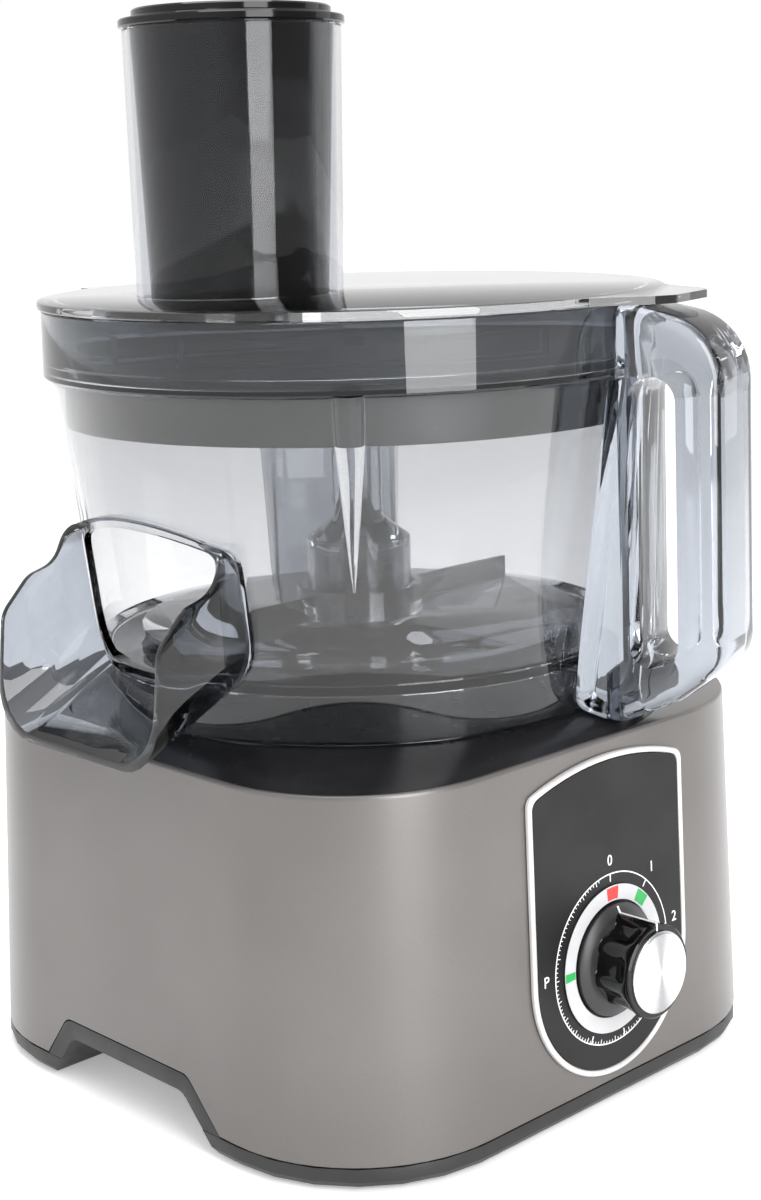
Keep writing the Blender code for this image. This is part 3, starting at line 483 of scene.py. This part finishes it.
def skin(name, rings, looped=False):
    """Outlines of equal counts, traced and bridged in turn, then capped or led back to the first.
    Bridging two outlines needs a direction, so one level with the last is set a hair higher."""
    count = len(rings[0])
    levels = [ring[0][2] for ring in rings]
    before = [levels[-1] if looped else None, *levels[:-1]]
    hair = [0.04 if level == other else 0.0 for level, other in zip(levels, before)]
    rings = [[(x, y, z + up) for x, y, z in ring] for ring, up in zip(rings, hair)]
    piece = trace(name, rings[0])
    for index, ring in enumerate(rings[1:], start=1):
        piece = joined([piece, trace("outline", ring)])
        select_range(piece, [((index - 1) * count, (index + 1) * count)])
        bpy.ops.mesh.bridge_edge_loops()
    last = ((len(rings) - 1) * count, len(rings) * count)
    if looped:
        select_range(piece, [(0, count), last])
        bpy.ops.mesh.bridge_edge_loops()
    else:
        for ends in ((0, count), last):
            select_range(piece, [ends])
            bpy.ops.mesh.edge_face_add()
    return close_up(piece)


def pulled(name, outline, by):
    """A closed outline, filled and extruded by a vector in millimetres."""
    piece = trace(name, outline)
    edit(piece)
    bpy.ops.mesh.edge_face_add()
    bpy.ops.mesh.extrude_region_move(TRANSFORM_OT_translate={"value": Vector(by) * MM})
    return close_up(piece)


def block(name, outline, low, high):
    """An outline of (x, y), as a block between two heights."""
    return pulled(name, [(x, y, low) for x, y in outline], (0, 0, high - low))


def turned(name, profile, centre=AXIS, steps=TURN_STEPS):
    """A profile of (radius, height), spun about an upright axis."""
    on_axis = profile[0][0] == 0 and profile[-1][0] == 0
    points = [(centre[0] + radius, centre[1], height) for radius, height in profile]
    piece = trace(name, points, closed=not on_axis)
    edit(piece)
    middle = (centre[0] * MM, centre[1] * MM, 0)
    bpy.ops.mesh.spin(steps=steps, angle=2 * math.pi, center=middle, axis=(0, 0, 1))
    return close_up(piece)


def drill(radius, high, low, centre=(0, 0), steps=32):
    """A round pin between two heights, to cut a hole with."""
    return turned("hole", [(0, high), (radius, high), (radius, low), (0, low)], centre, steps)


def apply_step(piece, step):
    take(piece)
    bpy.ops.object.modifier_apply(modifier=step.name)


def cut(piece, tool, operation="DIFFERENCE"):
    step = piece.modifiers.new("cut", "BOOLEAN")
    step.operation = operation
    step.object = tool
    apply_step(piece, step)
    bpy.data.objects.remove(tool)
    return piece


def soften(piece, width, angle=35, segments=2):
    """Rounds the sharp edges by a width in millimetres."""
    step = piece.modifiers.new("soft_edges", "BEVEL")
    step.width = width * MM
    step.segments = segments
    step.limit_method = "ANGLE"
    step.angle_limit = math.radians(angle)
    apply_step(piece, step)
    return piece


def smooth(piece, angle=30):
    take(piece)
    bpy.ops.object.shade_smooth_by_angle(angle=math.radians(angle))
    return piece


def place(piece, matrix):
    piece.matrix_world = matrix
    return settle(piece)


def about_axis(turn):
    """The bowl's own frame, turned."""
    return Matrix.Translation((AXIS[0] * MM, AXIS[1] * MM, 0)) @ Matrix.Rotation(turn, 4, "Z")


def copy_of(node, name, width=0.0):
    """A CAD node's shape on its own mesh, merged, its flat faces made whole, its edges rounded."""
    take(nodes[node])
    bpy.ops.object.duplicate()
    piece = bpy.context.object
    piece.name = name
    piece.data.name = name
    for key in list(piece.keys()):
        del piece[key]
    piece.parent = None
    edit(piece)
    bpy.ops.mesh.remove_doubles(threshold=1e-6)
    bpy.ops.mesh.dissolve_limited(angle_limit=math.radians(0.5))
    settle(piece)
    if width:
        soften(piece, width)
    return smooth(piece)


def wear(piece, finish, body, slot, *replaced):
    """Gives a piece its material and its body, and hides the CAD nodes it stands for. The slot is
    not used.
    """
    piece.data.materials.clear()
    piece.data.materials.append(finish)
    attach(piece, body)
    if replaced:
        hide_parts(*replaced)
    return piece


# ---------------------------------------------------------------- shared outlines


def arc(centre, radius, first, last, steps):
    angles = [math.radians(first + (last - first) * i / steps) for i in range(steps + 1)]
    return [(centre[0] + radius * math.cos(a), centre[1] + radius * math.sin(a)) for a in angles]


def rounded(corners, steps=6):
    """A closed outline from corners (x, y, radius), each rounded by its radius."""
    outline = []
    for index, (x, y, radius) in enumerate(corners):
        if radius == 0:
            outline.append((x, y))
            continue
        before = corners[index - 1]
        after = corners[(index + 1) % len(corners)]
        back = math.atan2(before[1] - y, before[0] - x)
        forth = math.atan2(after[1] - y, after[0] - x)
        half = abs((forth - back + math.pi) % (2 * math.pi) - math.pi) / 2
        middle = math.atan2(math.sin(back) + math.sin(forth), math.cos(back) + math.cos(forth))
        reach = radius / math.sin(half)
        centre = (x + reach * math.cos(middle), y + reach * math.sin(middle))
        run = radius / math.tan(half)
        ends = [(x + run * math.cos(way), y + run * math.sin(way)) for way in (back, forth)]
        enter, leave = (math.atan2(v - centre[1], u - centre[0]) for u, v in ends)
        sweep = (leave - enter + math.pi) % (2 * math.pi) - math.pi
        outline += arc(centre, radius, math.degrees(enter), math.degrees(enter + sweep), steps)
    return outline


def square_radius(half, corner, degrees):
    """Distance from the axis to the edge of a rounded square in one direction."""
    turn = math.radians(degrees)
    long, short = abs(math.cos(turn)), abs(math.sin(turn))
    if short > long:
        long, short = short, long
    inset = half - corner
    if half * short / long <= inset:
        return half / long
    reach = inset * (long + short)
    return reach + math.sqrt(reach * reach - 2 * inset * inset + corner * corner)


def square_ring(half, corner, level):
    return polar_ring(lambda degrees: square_radius(half, corner, degrees), level)


def polar_ring(radius_at, level):
    """A ring about the bowl's axis, its radius given for each direction."""
    ring = []
    for index in range(RING_POINTS):
        degrees = 360.0 * index / RING_POINTS + 1.25
        turn = math.radians(degrees)
        radius = radius_at(degrees)
        ring.append((AXIS[0] + radius * math.cos(turn), AXIS[1] + radius * math.sin(turn), level))
    return ring


def deck_ring(grow, level, share=1.0):
    """The deck's edge: square at two opposite corners and round at the other two."""

    def radius(degrees):
        flat = square_radius(DECK_HALF + grow, DECK_CORNER, degrees)
        if math.sin(math.radians(2 * degrees)) <= 0:
            flat = min(flat, DECK_ROUND + grow)
        return CROWN_START + (flat - CROWN_START) * share

    return polar_ring(radius, level)


def base_half(height):
    return BASE_HALF - LEAN * (height - PAINT_LOW) / PAINT_RISE


def arch(shrink, bottom, top, x_low, x_high):
    """The arch in the base's sides, as a block along X, offset inwards by shrink."""
    front_slope, back_slope = 1.05, 0.75
    corners = []
    for level, radius in ((bottom, 0), (top, 6)):
        rise = level - PAINT_LOW
        front = -47 + front_slope * rise + shrink * math.hypot(1, front_slope)
        back = 49 - back_slope * rise - shrink * math.hypot(1, back_slope)
        corners.append(((front, level, radius), (back, level, radius)))
    (low_front, low_back), (high_front, high_back) = corners
    outline = rounded([low_front, high_front, high_back, low_back], 8)
    points = [(AXIS[0] + x_low, AXIS[1] + y, z) for y, z in outline]
    return pulled("arch", points, (x_high - x_low, 0, 0))


# ---------------------------------------------------------------- motor base


def build_housing(finish):
    """The painted shell, open below, with a rounded top edge and a ledge for the deck."""
    edge_low, edge_rise = 124.6, 1.4
    edge = []
    for degrees in (0, 25, 50, 75, 90):
        turn = math.radians(degrees)
        inward = 1.0 * (1 - math.cos(turn))
        level = edge_low + edge_rise * math.sin(turn)
        edge.append(square_ring(base_half(edge_low) - inward, BASE_CORNER - inward, level))
    rings = [square_ring(112.0, BASE_CORNER, PAINT_LOW), square_ring(BASE_HALF, BASE_CORNER, 8.4)]
    rings += [*edge, deck_ring(0.3, 126.0), deck_ring(0.3, 123.6), deck_ring(-2.2, 123.6)]
    rings += [deck_ring(-2.2, 121.4), square_ring(107.5, 54.5, 119.6)]
    rings.append(square_ring(109.8, 54.5, PAINT_LOW))
    shell = skin("housing_shell", rings, looped=True)
    for x_low, x_high in ((-130, -90), (90, 130)):
        cut(shell, arch(0, 7, 24, x_low, x_high))
    cut(shell, place(drill(4, 10, -20), DIAL))
    inlet_height = 40
    inlet = Matrix.Translation(
        (45 * MM, (AXIS[1] + base_half(inlet_height)) * MM, inlet_height * MM)
    )
    inlet = inlet @ Matrix.Rotation(math.radians(-90), 4, "X")
    cut(shell, place(drill(6.5, 10, -20), inlet))
    wear(smooth(shell, 40), finish["paint"], "base", "painted_metal", "housing")


def build_deck(finish):
    """The black top plate, crowned to a level ring, with the tower that the bowl drops over."""
    edge = ((-2.8, 119.6), (-2.8, 123.9), (0, 123.9), (0, 125.3), (-0.25, 125.8), (-0.9, 126.1))
    rings = [deck_ring(grow, level) for grow, level in edge]
    for share, level in ((0.8, 127.3), (0.6, 128.4), (0.4, 129.3), (0.2, 130.0), (0.05, 130.5)):
        rings.append(deck_ring(0, level, share))
    tower = [(96, 130.6), (33.5, 130.6), (31.5, 131.2), (30.3, 132.6), (30, 134.5), (30, 141.2)]
    tower += [(29.4, 142.4), (28, 143), (7.5, 143), (7.5, 140), (27, 140)]
    underside = [(27, 127.6), (92, 127.6), (92, 119.6)]
    for radius, level in tower + underside:
        rings.append(polar_ring(lambda degrees: radius, level))
    plate = skin("deck_plate", rings, looped=True)
    lug_outline = rounded([(28.5, -6, 0), (34, -6, 1.5), (34, 6, 1.5), (28.5, 6, 0)])
    for index in range(3):
        lug = block("lug", lug_outline, 137, 140.5)
        cut(plate, place(lug, about_axis(math.radians(120 * index + 20))), "UNION")
    plunger = Matrix.Rotation(HANDLE_TURN, 3, "Z") @ Vector((104.2, 0, 0))
    cut(plate, drill(2.6, 140, 110, (AXIS[0] + plunger.x, AXIS[1] + plunger.y)))
    wear(smooth(plate, 32), finish["deck"], "base", "black_satin", "deck")


def build_tray(finish):
    tray = copy_of("base_tray", "base_pan", 0.35)
    wear(tray, finish["pan"], "base", "black_satin", "base_tray")


def panel_outline(inset):
    """Half round at the bottom, nearly straight sides, and a gently curved top."""
    half = PANEL_HALF - inset
    radius = PANEL_TOP_RADIUS - inset
    edge = math.degrees(math.asin(half / radius))
    top = arc((0, PANEL_TOP - PANEL_TOP_RADIUS), radius, 90 - edge, 90 + edge, 24)
    outline = arc((0, 0), half, 180, 360, 64)
    corner = rounded([(*outline[-1], 0), (*top[0], 4), (*top[2], 0)], 6)[1:-1]
    mirrored = [(-x, y) for x, y in reversed(corner)]
    return outline + corner + top[2:-2] + mirrored


def build_panel(finish):
    face = block("panel_face", panel_outline(2.3), 0.3, 1.5)
    cut(face, drill(4, 5, -5))
    wear(smooth(place(face, DIAL)), finish["panel"], "base", "black_satin", "control_panel")

    levels = ((0.0, 0.3), (0.0, 1.3), (0.3, 1.8), (1.0, 2.0), (1.7, 1.8), (2.0, 1.4), (2.0, 0.3))
    rings = [[(x, y, level) for x, y in panel_outline(inset)] for inset, level in levels]
    trim = place(skin("panel_border", rings, looped=True), DIAL)
    wear(smooth(trim, 45), finish["trim"], "base", "silver_trim", "panel_trim")


def sector(name, inner, outer, first, last, low, high, steps=6):
    """A flat piece of a ring between two angles, in the dial's frame."""
    outline = arc((0, 0), outer, first, last, steps) + arc((0, 0), inner, last, first, steps)
    return block(name, outline, low, high)


def build_dial(finish):
    """The printed scale: a grey ring with coloured marks, an arc, ticks and four characters."""
    ring = [(19.8, 1.8), (24.7, 1.8), (25.0, 2.1), (25.0, 2.3), (24.9, 2.4), (19.9, 2.4)]
    ring.append((19.8, 2.3))
    dial = place(turned("dial_scale", ring, (0, 0), 96), DIAL)
    wear(smooth(dial, 40), finish["print"], "base", "pale_print", "dial_ring")

    red = sector("stop_mark", 20.4, 24.6, 83, 97, *DIAL_MARK_LEVELS)
    wear(place(red, DIAL), finish["red"], "base", "pale_print")
    green = sector("speed_mark", 20.4, 24.6, 43, 57, *DIAL_MARK_LEVELS)
    pulse = sector("pulse_mark", 20.2, 24.9, 176.6, 183.4, *DIAL_MARK_LEVELS)
    wear(place(joined([green, pulse]), DIAL), finish["green"], "base", "pale_print")

    lines = [sector("scale_lines", 28.75, 29.15, 0, 300, *SCALE_LEVELS, 96)]
    ticks = [(at, 27.2 if at % 15 == 0 else 27.9, 0.25) for at in range(102, 301, 3)]
    ticks += [(at, 26.3, 0.5) for at in (90, 50, 8, 245, 280)]
    for at, reach, half in ticks:
        lines.append(sector("tick", reach, 28.8, at - half, at + half, *SCALE_LEVELS, 1))
    wear(place(joined(lines), DIAL), finish["white"], "base", "pale_print")

    characters = []
    labels = (("0", 90, 33.5), ("1", 50, 33.8), ("2", 9, 33.6), ("P", 178, 33.4))
    for body, degrees, radius in labels:
        deselect()
        turn = math.radians(degrees)
        spot = (radius * math.cos(turn), radius * math.sin(turn))
        bpy.ops.object.text_add(location=(0, 0, 0))
        text = bpy.context.object
        text.data.body = body
        text.data.size = 5.2 * MM
        text.data.extrude = 0.08 * MM
        text.data.align_x = "CENTER"
        text.data.align_y = "CENTER"
        text.data.resolution_u = 6
        bpy.ops.object.convert(target="MESH")
        text = bpy.context.object
        place(text, Matrix.Translation((spot[0] * MM, spot[1] * MM, 1.56 * MM)))
        characters.append(text)
    marks = close_up(joined(characters))
    marks.name = "scale_characters"
    wear(place(marks, DIAL), finish["white"], "base", "pale_print")


def build_knob(finish):
    """A dished flange, a grip with seven flutes and a pointer ridge, and a spun metal cap."""
    flange = [(0, 5.6), (15.6, 5.6), (16.4, 5.3), (18.4, 4.3), (19, 3.6), (19, 2.3)]
    flange += [(18.7, 1.9), (0, 1.9)]
    skirt = place(turned("knob_flange", flange, (0, 0), 96), DIAL)
    wear(smooth(skirt, 40), finish["carrier"], "knob", "black_gloss")

    flutes = 7
    points = flutes * 16
    rings = []
    sections = ((5.0, 14.6, 0.4), (5.8, 13.4, 1.0), (13, 13.2, 1.1), (16, 14.0, 0.9))
    sections += ((18.2, 15.2, 0.3), (19.6, 15.6, 0.0), (20.6, 15.5, 0.0), (20.9, 15.1, 0.0))
    for level, middle, depth in sections:
        ring = []
        for index in range(points):
            turn = 2 * math.pi * index / points
            wave = math.cos(flutes * (turn - math.pi / 2))
            radius = middle + depth * math.copysign(abs(wave) ** 0.5, wave)
            ring.append((radius * math.cos(turn), radius * math.sin(turn), level))
        rings.append(ring)
    grip = skin("knob_grip", rings)
    pointer = rounded([(-2.5, 0, 0), (2.5, 0, 0), (2.5, 16.4, 2), (-2.5, 16.4, 2)])
    ridge = soften(block("ridge", pointer, 4.9, 20.8), 0.4)
    grip = smooth(cut(grip, ridge, "UNION"), 35)
    wear(place(grip, DIAL), finish["gloss"], "knob", "black_gloss", "knob")

    path = [(18.5, 4.25), (18.5, 4.4), (16.6, 5.45), (16.6, 20.95), (13.8, 21.0), (13.8, 20.8)]
    path += [(16.3, 20.7), (16.3, 5.2)]
    line = pulled("pointer_line", [(-0.35, y, z) for y, z in path], (0.7, 0, 0))
    wear(place(line, DIAL), finish["white"], "knob", "pale_print")

    cap = [(0, 22.4), (12.6, 22.4), (13.2, 22.2), (13.55, 21.8), (13.6, 21.3), (13.4, 20.85)]
    cap.append((0, 20.85))
    cap = place(turned("spun_cap", cap, (0, 0), 96), DIAL)
    wear(smooth(cap, 40), finish["spun"], "knob", "aluminium", "knob_cap")


# ---------------------------------------------------------------- bowl


def bowl_radius(height):
    widening = WALL_HIGH_RADIUS - WALL_LOW_RADIUS
    return WALL_LOW_RADIUS + widening * (height - WALL_LOW) / (WALL_HIGH - WALL_LOW)


def build_bowl(finish):
    """The conical bowl with its foot, floor, centre tube and upright rim, moulded in one."""
    foot = bowl_radius(BOWL_FOOT)
    outside = [(foot - 0.6, BOWL_FOOT), (foot, 131.5), (bowl_radius(150), 150), (108.9, 245.2)]
    outside += [(109.6, 246.3), (111.1, 246.9), (111.5, 247.5), (111.5, 270), (111.1, 270.5)]
    inside = [(109.4, 270.5), (109, 270), (109, 249.6), (108.5, 248.6), (107, 247.4)]
    inside.append((106.5, 246.4))
    floor = [(94.5, 156), (93.6, 152.4), (91.4, 150.4), (89, 150), (17, 150), (15.7, 150.8)]
    tube = [(15.5, 152), (15.5, 178.2), (15.1, 178.5), (13.3, 178.5), (13, 178.2), (13, 147.9)]
    under = [(13.4, 147.5), (foot - 3, 147.5), (foot - 2.5, 147), (foot - 2.5, 131.5)]
    under.append((foot - 2.1, BOWL_FOOT))
    profile = outside + inside + floor + tube + under
    bowl = turned("bowl_shell", profile)
    rib = []
    stations = ((247, 5.3, 5), (232, 4.9, 5), (205, 2.6, 3.4), (190, 1.2, 1.6), (183, 0.3, 0.6))
    for height, half, depth in stations:
        wall = bowl_radius(height)
        section = [(wall - 1.2, -half)]
        section += [
            (wall + depth * math.cos(math.radians(a)), half * math.sin(math.radians(a)))
            for a in (-75, -50, -25, 0, 25, 50, 75)
        ]
        section.append((wall - 1.2, half))
        rib.append([(x, y, height) for x, y in section])
    cut(bowl, place(skin("rib", rib), about_axis(RIB_TURN)), "UNION")
    window = chute_section(95, 3.8, 150.4)
    cut(bowl, pulled("window", [(x - 25, y, z) for x, y, z in window], (36, 0, 0)))
    slot = [(110, -ROD_HALF), (120, -ROD_HALF), (120, ROD_HALF), (110, ROD_HALF)]
    groove = block("groove", slot, 244, 275)
    cut(bowl, place(groove, about_axis(HANDLE_TURN)))
    wear(smooth(bowl, 28), finish["bowl"], "bowl", "smoke_clear", "bowl")


def chute_section(distance, inset, floor):
    """A cross-section of the chute, at a distance to the left of the axis."""
    half = CHUTE_HALF - inset
    top = arc((0, 94 - inset), 110, 70, 110, 12)
    shoulder = top[0][1] - 1.5
    corners = [(-half, floor, 18), (half, floor, 18), (half, shoulder, 6)]
    corners += [(y, z, 0) for y, z in top if abs(y) < half - 7]
    corners.append((-half, shoulder, 6))
    return [(AXIS[0] - distance, AXIS[1] + y, z) for y, z in rounded(corners)]


def sloped(name, near, far, inset, lift):
    """The chute's section pulled outwards, its floor dropping as it goes."""
    floor = CHUTE_FLOOR - CHUTE_SLOPE * (near - CHUTE_NEAR) + lift
    drop = CHUTE_SLOPE * (far - near)
    piece = pulled(name, chute_section(near, inset, floor), (near - far, 0, 0))
    select_points(piece, lambda spot: spot.x < AXIS[0] - far + 0.5 and spot.z < floor + 19)
    bpy.ops.transform.translate(value=(0, 0, -drop * MM))
    return settle(piece)


def bowl_outside():
    """The space that the bowl takes up, to cut the chute and the handle back to it."""
    profile = [(0, 282), (111.8, 282), (111.8, 245.9), (109.3, 245.4), (94.2, BOWL_FOOT)]
    return turned("outside", profile + [(94.2, 111), (0, 111)])


def build_chute(finish):
    """The outlet: a hood with an S-shaped mouth, its walls ending in a rolled edge."""
    wall, floor_wall, reach = 2.3, 2.53, 10
    hood = sloped("outlet_chute", CHUTE_NEAR, CHUTE_FAR, 0, 0)
    cut(hood, sloped("hollow", CHUTE_NEAR - reach, CHUTE_FAR + reach, wall, floor_wall))
    cut(hood, bowl_outside())
    corners = [(-107.5, 206, 0), (-98, 197.8, 2), (-104.5, 184.5, 10), (-115.5, 181.5, 10)]
    corners += [(-126.5, 170, 10), (-129, 140, 0), (-130, 120, 0), (-150, 120, 0), (-150, 206, 0)]
    points = [(AXIS[0] + x, AXIS[1] - 60, z) for x, z in rounded(corners, 10)]
    cut(hood, pulled("mouth", points, (0, 120, 0)))
    soften(hood, 0.5, 50)
    wear(smooth(hood, 35), finish["smoke"], "bowl", "smoke_clear", "chute")


def build_handle(finish):
    """A hollow clear loop beside the bowl: a column against the wall, and a grip."""
    corners = [(92, 132, 0), (103, 129.4, 0), (110, 128.8, 7), (131, 138.5, 14)]
    corners += [(147, 152, 14), (147, 264, 24), (116, 270.2, 8), (92, 270.2, 0)]
    outline = [(x, -HANDLE_HALF, z) for x, z in rounded(corners, 10)]
    loop = pulled("handle_loop", outline, (0, 2 * HANDLE_HALF, 0))
    soften(loop, 5, 50, 5)
    gap = rounded([(114.4, 147, 7), (131.5, 152, 8), (131.5, 247, 8.5), (114.4, 247, 8.5)], 8)
    cut(loop, pulled("gap", [(x, -30, z) for x, z in gap], (0, 60, 0)))
    loop = place(loop, about_axis(HANDLE_TURN))
    cut(loop, bowl_outside())
    channel = [(107.3, 280), (113.5, 280), (113.5, 136), (106.3, 132.5), (106.3, 120), (101.9, 120)]
    channel += [(101.9, 144), (107.3, 149)]
    slot = pulled("channel", [(x, -ROD_HALF, z) for x, z in channel], (0, 2 * ROD_HALF, 0))
    cut(loop, place(slot, about_axis(HANDLE_TURN)))
    soften(loop, 0.6, 50)
    wear(smooth(loop, 35), finish["smoke"], "bowl", "smoke_clear", "handle")


def build_bowl_fittings(finish):
    wall = copy_of("bowl_baffle", "baffle_wall", 0.3)
    wear(wall, finish["smoke"], "bowl", "smoke_clear", "bowl_baffle")
    rod = copy_of("interlock_rod", "push_rod_bar", 0.3)
    wear(rod, finish["clear"], "push_rod", "natural_plastic", "interlock_rod")


# ---------------------------------------------------------------- disc and spindle


def build_cutter(finish):
    """The dark disc with its deep rim, the blade, the stepped spindle and the ejector plate."""
    face = [(4.3, 249.5), (18, 249.5), (20, 249.1), (98, 249.1), (100, 249.5), (102.6, 249.5)]
    rim = [(103.3, 249.1), (103.5, 248.4), (103.5, 231), (103.2, 230.6), (101.8, 230.6)]
    rim += [(101.5, 231), (101.5, 246.5), (101, 247)]
    hub = [(15.5, 247), (15, 246.5), (15, 233), (14.5, 232.5), (4.3, 232.5)]
    disc = turned("disc_plate", face + rim + hub)
    slot = block("slot", rounded([(20, -9, 2), (97, -9, 2), (97, 9, 2), (20, 9, 2)]), 240, 256)
    cut(disc, place(slot, about_axis(BLADE_TURN)))
    wear(smooth(disc, 32), finish["carrier"], "cutter", "dark_grey", "disc_carrier")

    edge = [(-8.2, 247.6), (-7.4, 248.7), (8.0, 250.2), (8.2, 249.9), (8.0, 249.2)]
    blade = pulled("disc_blade", [(20.5, y, z) for y, z in edge], (76, 0, 0))
    blade = place(blade, about_axis(BLADE_TURN))
    wear(blade, finish["steel"], "cutter", "steel", "slicing_blade")

    spindle = copy_of("spindle", "drive_spindle", 0.3)
    wear(spindle, finish["smoke"], "cutter", "natural_plastic", "spindle")
    ejector = copy_of("ejector", "ejector_plate", 0.2)
    wear(ejector, finish["clear"], "cutter", "smoke_clear", "ejector")


# ---------------------------------------------------------------- lid and pusher


def build_lid(finish):
    """A flat clear lid with a hanging skirt, a locking tongue over the handle and a lug behind."""
    plate = [(0, 274), (111.6, 274), (112.5, 273.6), (112.8, 272.9), (112.8, 271.4), (112.4, 271)]
    skirt = [(109.2, 271), (108.5, 270.4), (108.5, 252.4), (108.2, 252), (106.3, 252)]
    skirt += [(106, 252.4), (106, 270), (105, 271), (0, 271)]
    lid = turned("lid_plate", plate + skirt)
    side = [(98, -50, 0), (110, -34, 8), (127, -21, 8), (131.5, -14, 6)]
    tongue = rounded(side + [(x, -y, radius) for x, y, radius in reversed(side)])
    lug = [(-105, -9), (-118, -7), (-118, 7), (-105, 9)]
    for name, outline in (("tongue", tongue), ("lug", lug)):
        tab = block(name, outline, 271.1, 273.8)
        cut(lid, place(tab, about_axis(HANDLE_TURN)), "UNION")
    ribs = []
    inside = LID_SKIRT_INSIDE
    for first, last in ((196, 236), (240, 262), (310, 350), (20, 60), (80, 120), (140, 180)):
        for inner, low, high in ((103.9, 255.5, 257.2), (104.6, 263.5, 264.7)):
            ribs.append(sector("rib", inner, inside, first, last, low, high, 16))
        for end in (first, last):
            ribs.append(sector("rib", 104.2, inside, end - 0.6, end + 0.6, 255.5, 264.7, 1))
    for rib in ribs:
        cut(lid, place(rib, about_axis(0)), "UNION")
    cut(lid, drill(37.3, 280, 265, FEED, TURN_STEPS))
    wear(smooth(lid, 30), finish["lid"], "lid", "smoke_clear", "lid")


def build_feed(finish):
    """The feed tube, a little wider at its top, and the hollow pusher that hangs in it."""
    outside = [(38.7, 368), (38.9, 367.7), (37.15, 276.5), (37.0, 275), (37, 258.4), (36.7, 258)]
    inside = [(35.3, 258), (35, 258.4), (35, 275), (36.9, 367.7), (37.1, 368)]
    tube = turned("feed_chimney", outside + inside, FEED)
    wear(smooth(tube, 30), finish["thin"], "lid", "smoke_clear", "feed_tube")

    body = [(0, 262), (29.8, 262), (31.0, 262.5), (31.5, 263.6), (35.4, 352), (36.0, 362)]
    flange = [(36.2, 368.5), (39.7, 368.5), (40.2, 369), (40.2, 371), (39.8, 371.5), (36.2, 371.9)]
    lip = [(35.5, 372.5), (35.5, 374.4), (34.9, 375), (33.9, 375), (33.4, 374.4)]
    hollow = [(33.4, 356), (29.6, 266), (28.6, 264.5), (27, 264.2), (0, 264.2)]
    pusher = turned("pusher_cup", body + flange + lip + hollow, FEED)
    wear(smooth(pusher, 30), finish["gloss"], "pusher", "black_gloss", "pusher")


# ---------------------------------------------------------------- hidden works


def finish_works(finish):
    """The parts inside keep their CAD shape and get their real materials."""
    looks = {
        "rubber": ("cord_inlet", "drive_belt", "foot_1", "foot_2", "foot_3", "foot_4"),
        "iron": ("motor_stator",),
        "copper": ("motor_rotor", "commutator"),
        "cast": ("motor_bracket_lower", "motor_bracket_upper", "bearing_housing"),
        "ground": (
            *("motor_shaft", "drive_shaft", "drive_coupling", "bearing_lower", "bearing_upper"),
            *("selector_shaft", "motor_pulley"),
            *("foot_screw_1", "foot_screw_2", "foot_screw_3", "foot_screw_4"),
        ),
        "board": ("circuit_board",),
        "nylon": (
            *("brush_holder_left", "brush_holder_right", "board_stand", "driven_pulley"),
            *("motor_fan", "rotary_switch", "interlock_plunger"),
        ),
        "carrier": ("capacitor",),
        "pan": ("interlock_switch",),
    }
    for look, names in looks.items():
        for name in names:
            for slot in nodes[name].material_slots:
                slot.material = finish[look]


def lay_floor(finish):
    """A wide sweep under the object."""
    deselect()
    bpy.ops.mesh.primitive_plane_add(size=12, location=(0, 0, 0))
    floor = settle(bpy.context.object)
    floor.name = "floor"
    floor.data.materials.append(finish)


stand_camera()
light_studio()
finish = make_finishes()
# A pale matt sweep with the slightest mottle of card.
pale_card = {"Emission_Color": (1.0, 1.0, 1.0, 1.0), "Emission_Strength": 0.3}
lay_floor(moulded("pale_card", "#f0f0f0", "#f6f6f6", (0.6, 0.7), 1.5, 0.01, **pale_card))
build_steps = (
    build_housing,
    build_deck,
    build_tray,
    build_panel,
    build_dial,
    build_knob,
    build_bowl,
    build_chute,
    build_handle,
    build_bowl_fittings,
    build_cutter,
    build_lid,
    build_feed,
)
for build in build_steps:
    build(finish)
finish_works(finish)

bpy.context.view_layer.update()
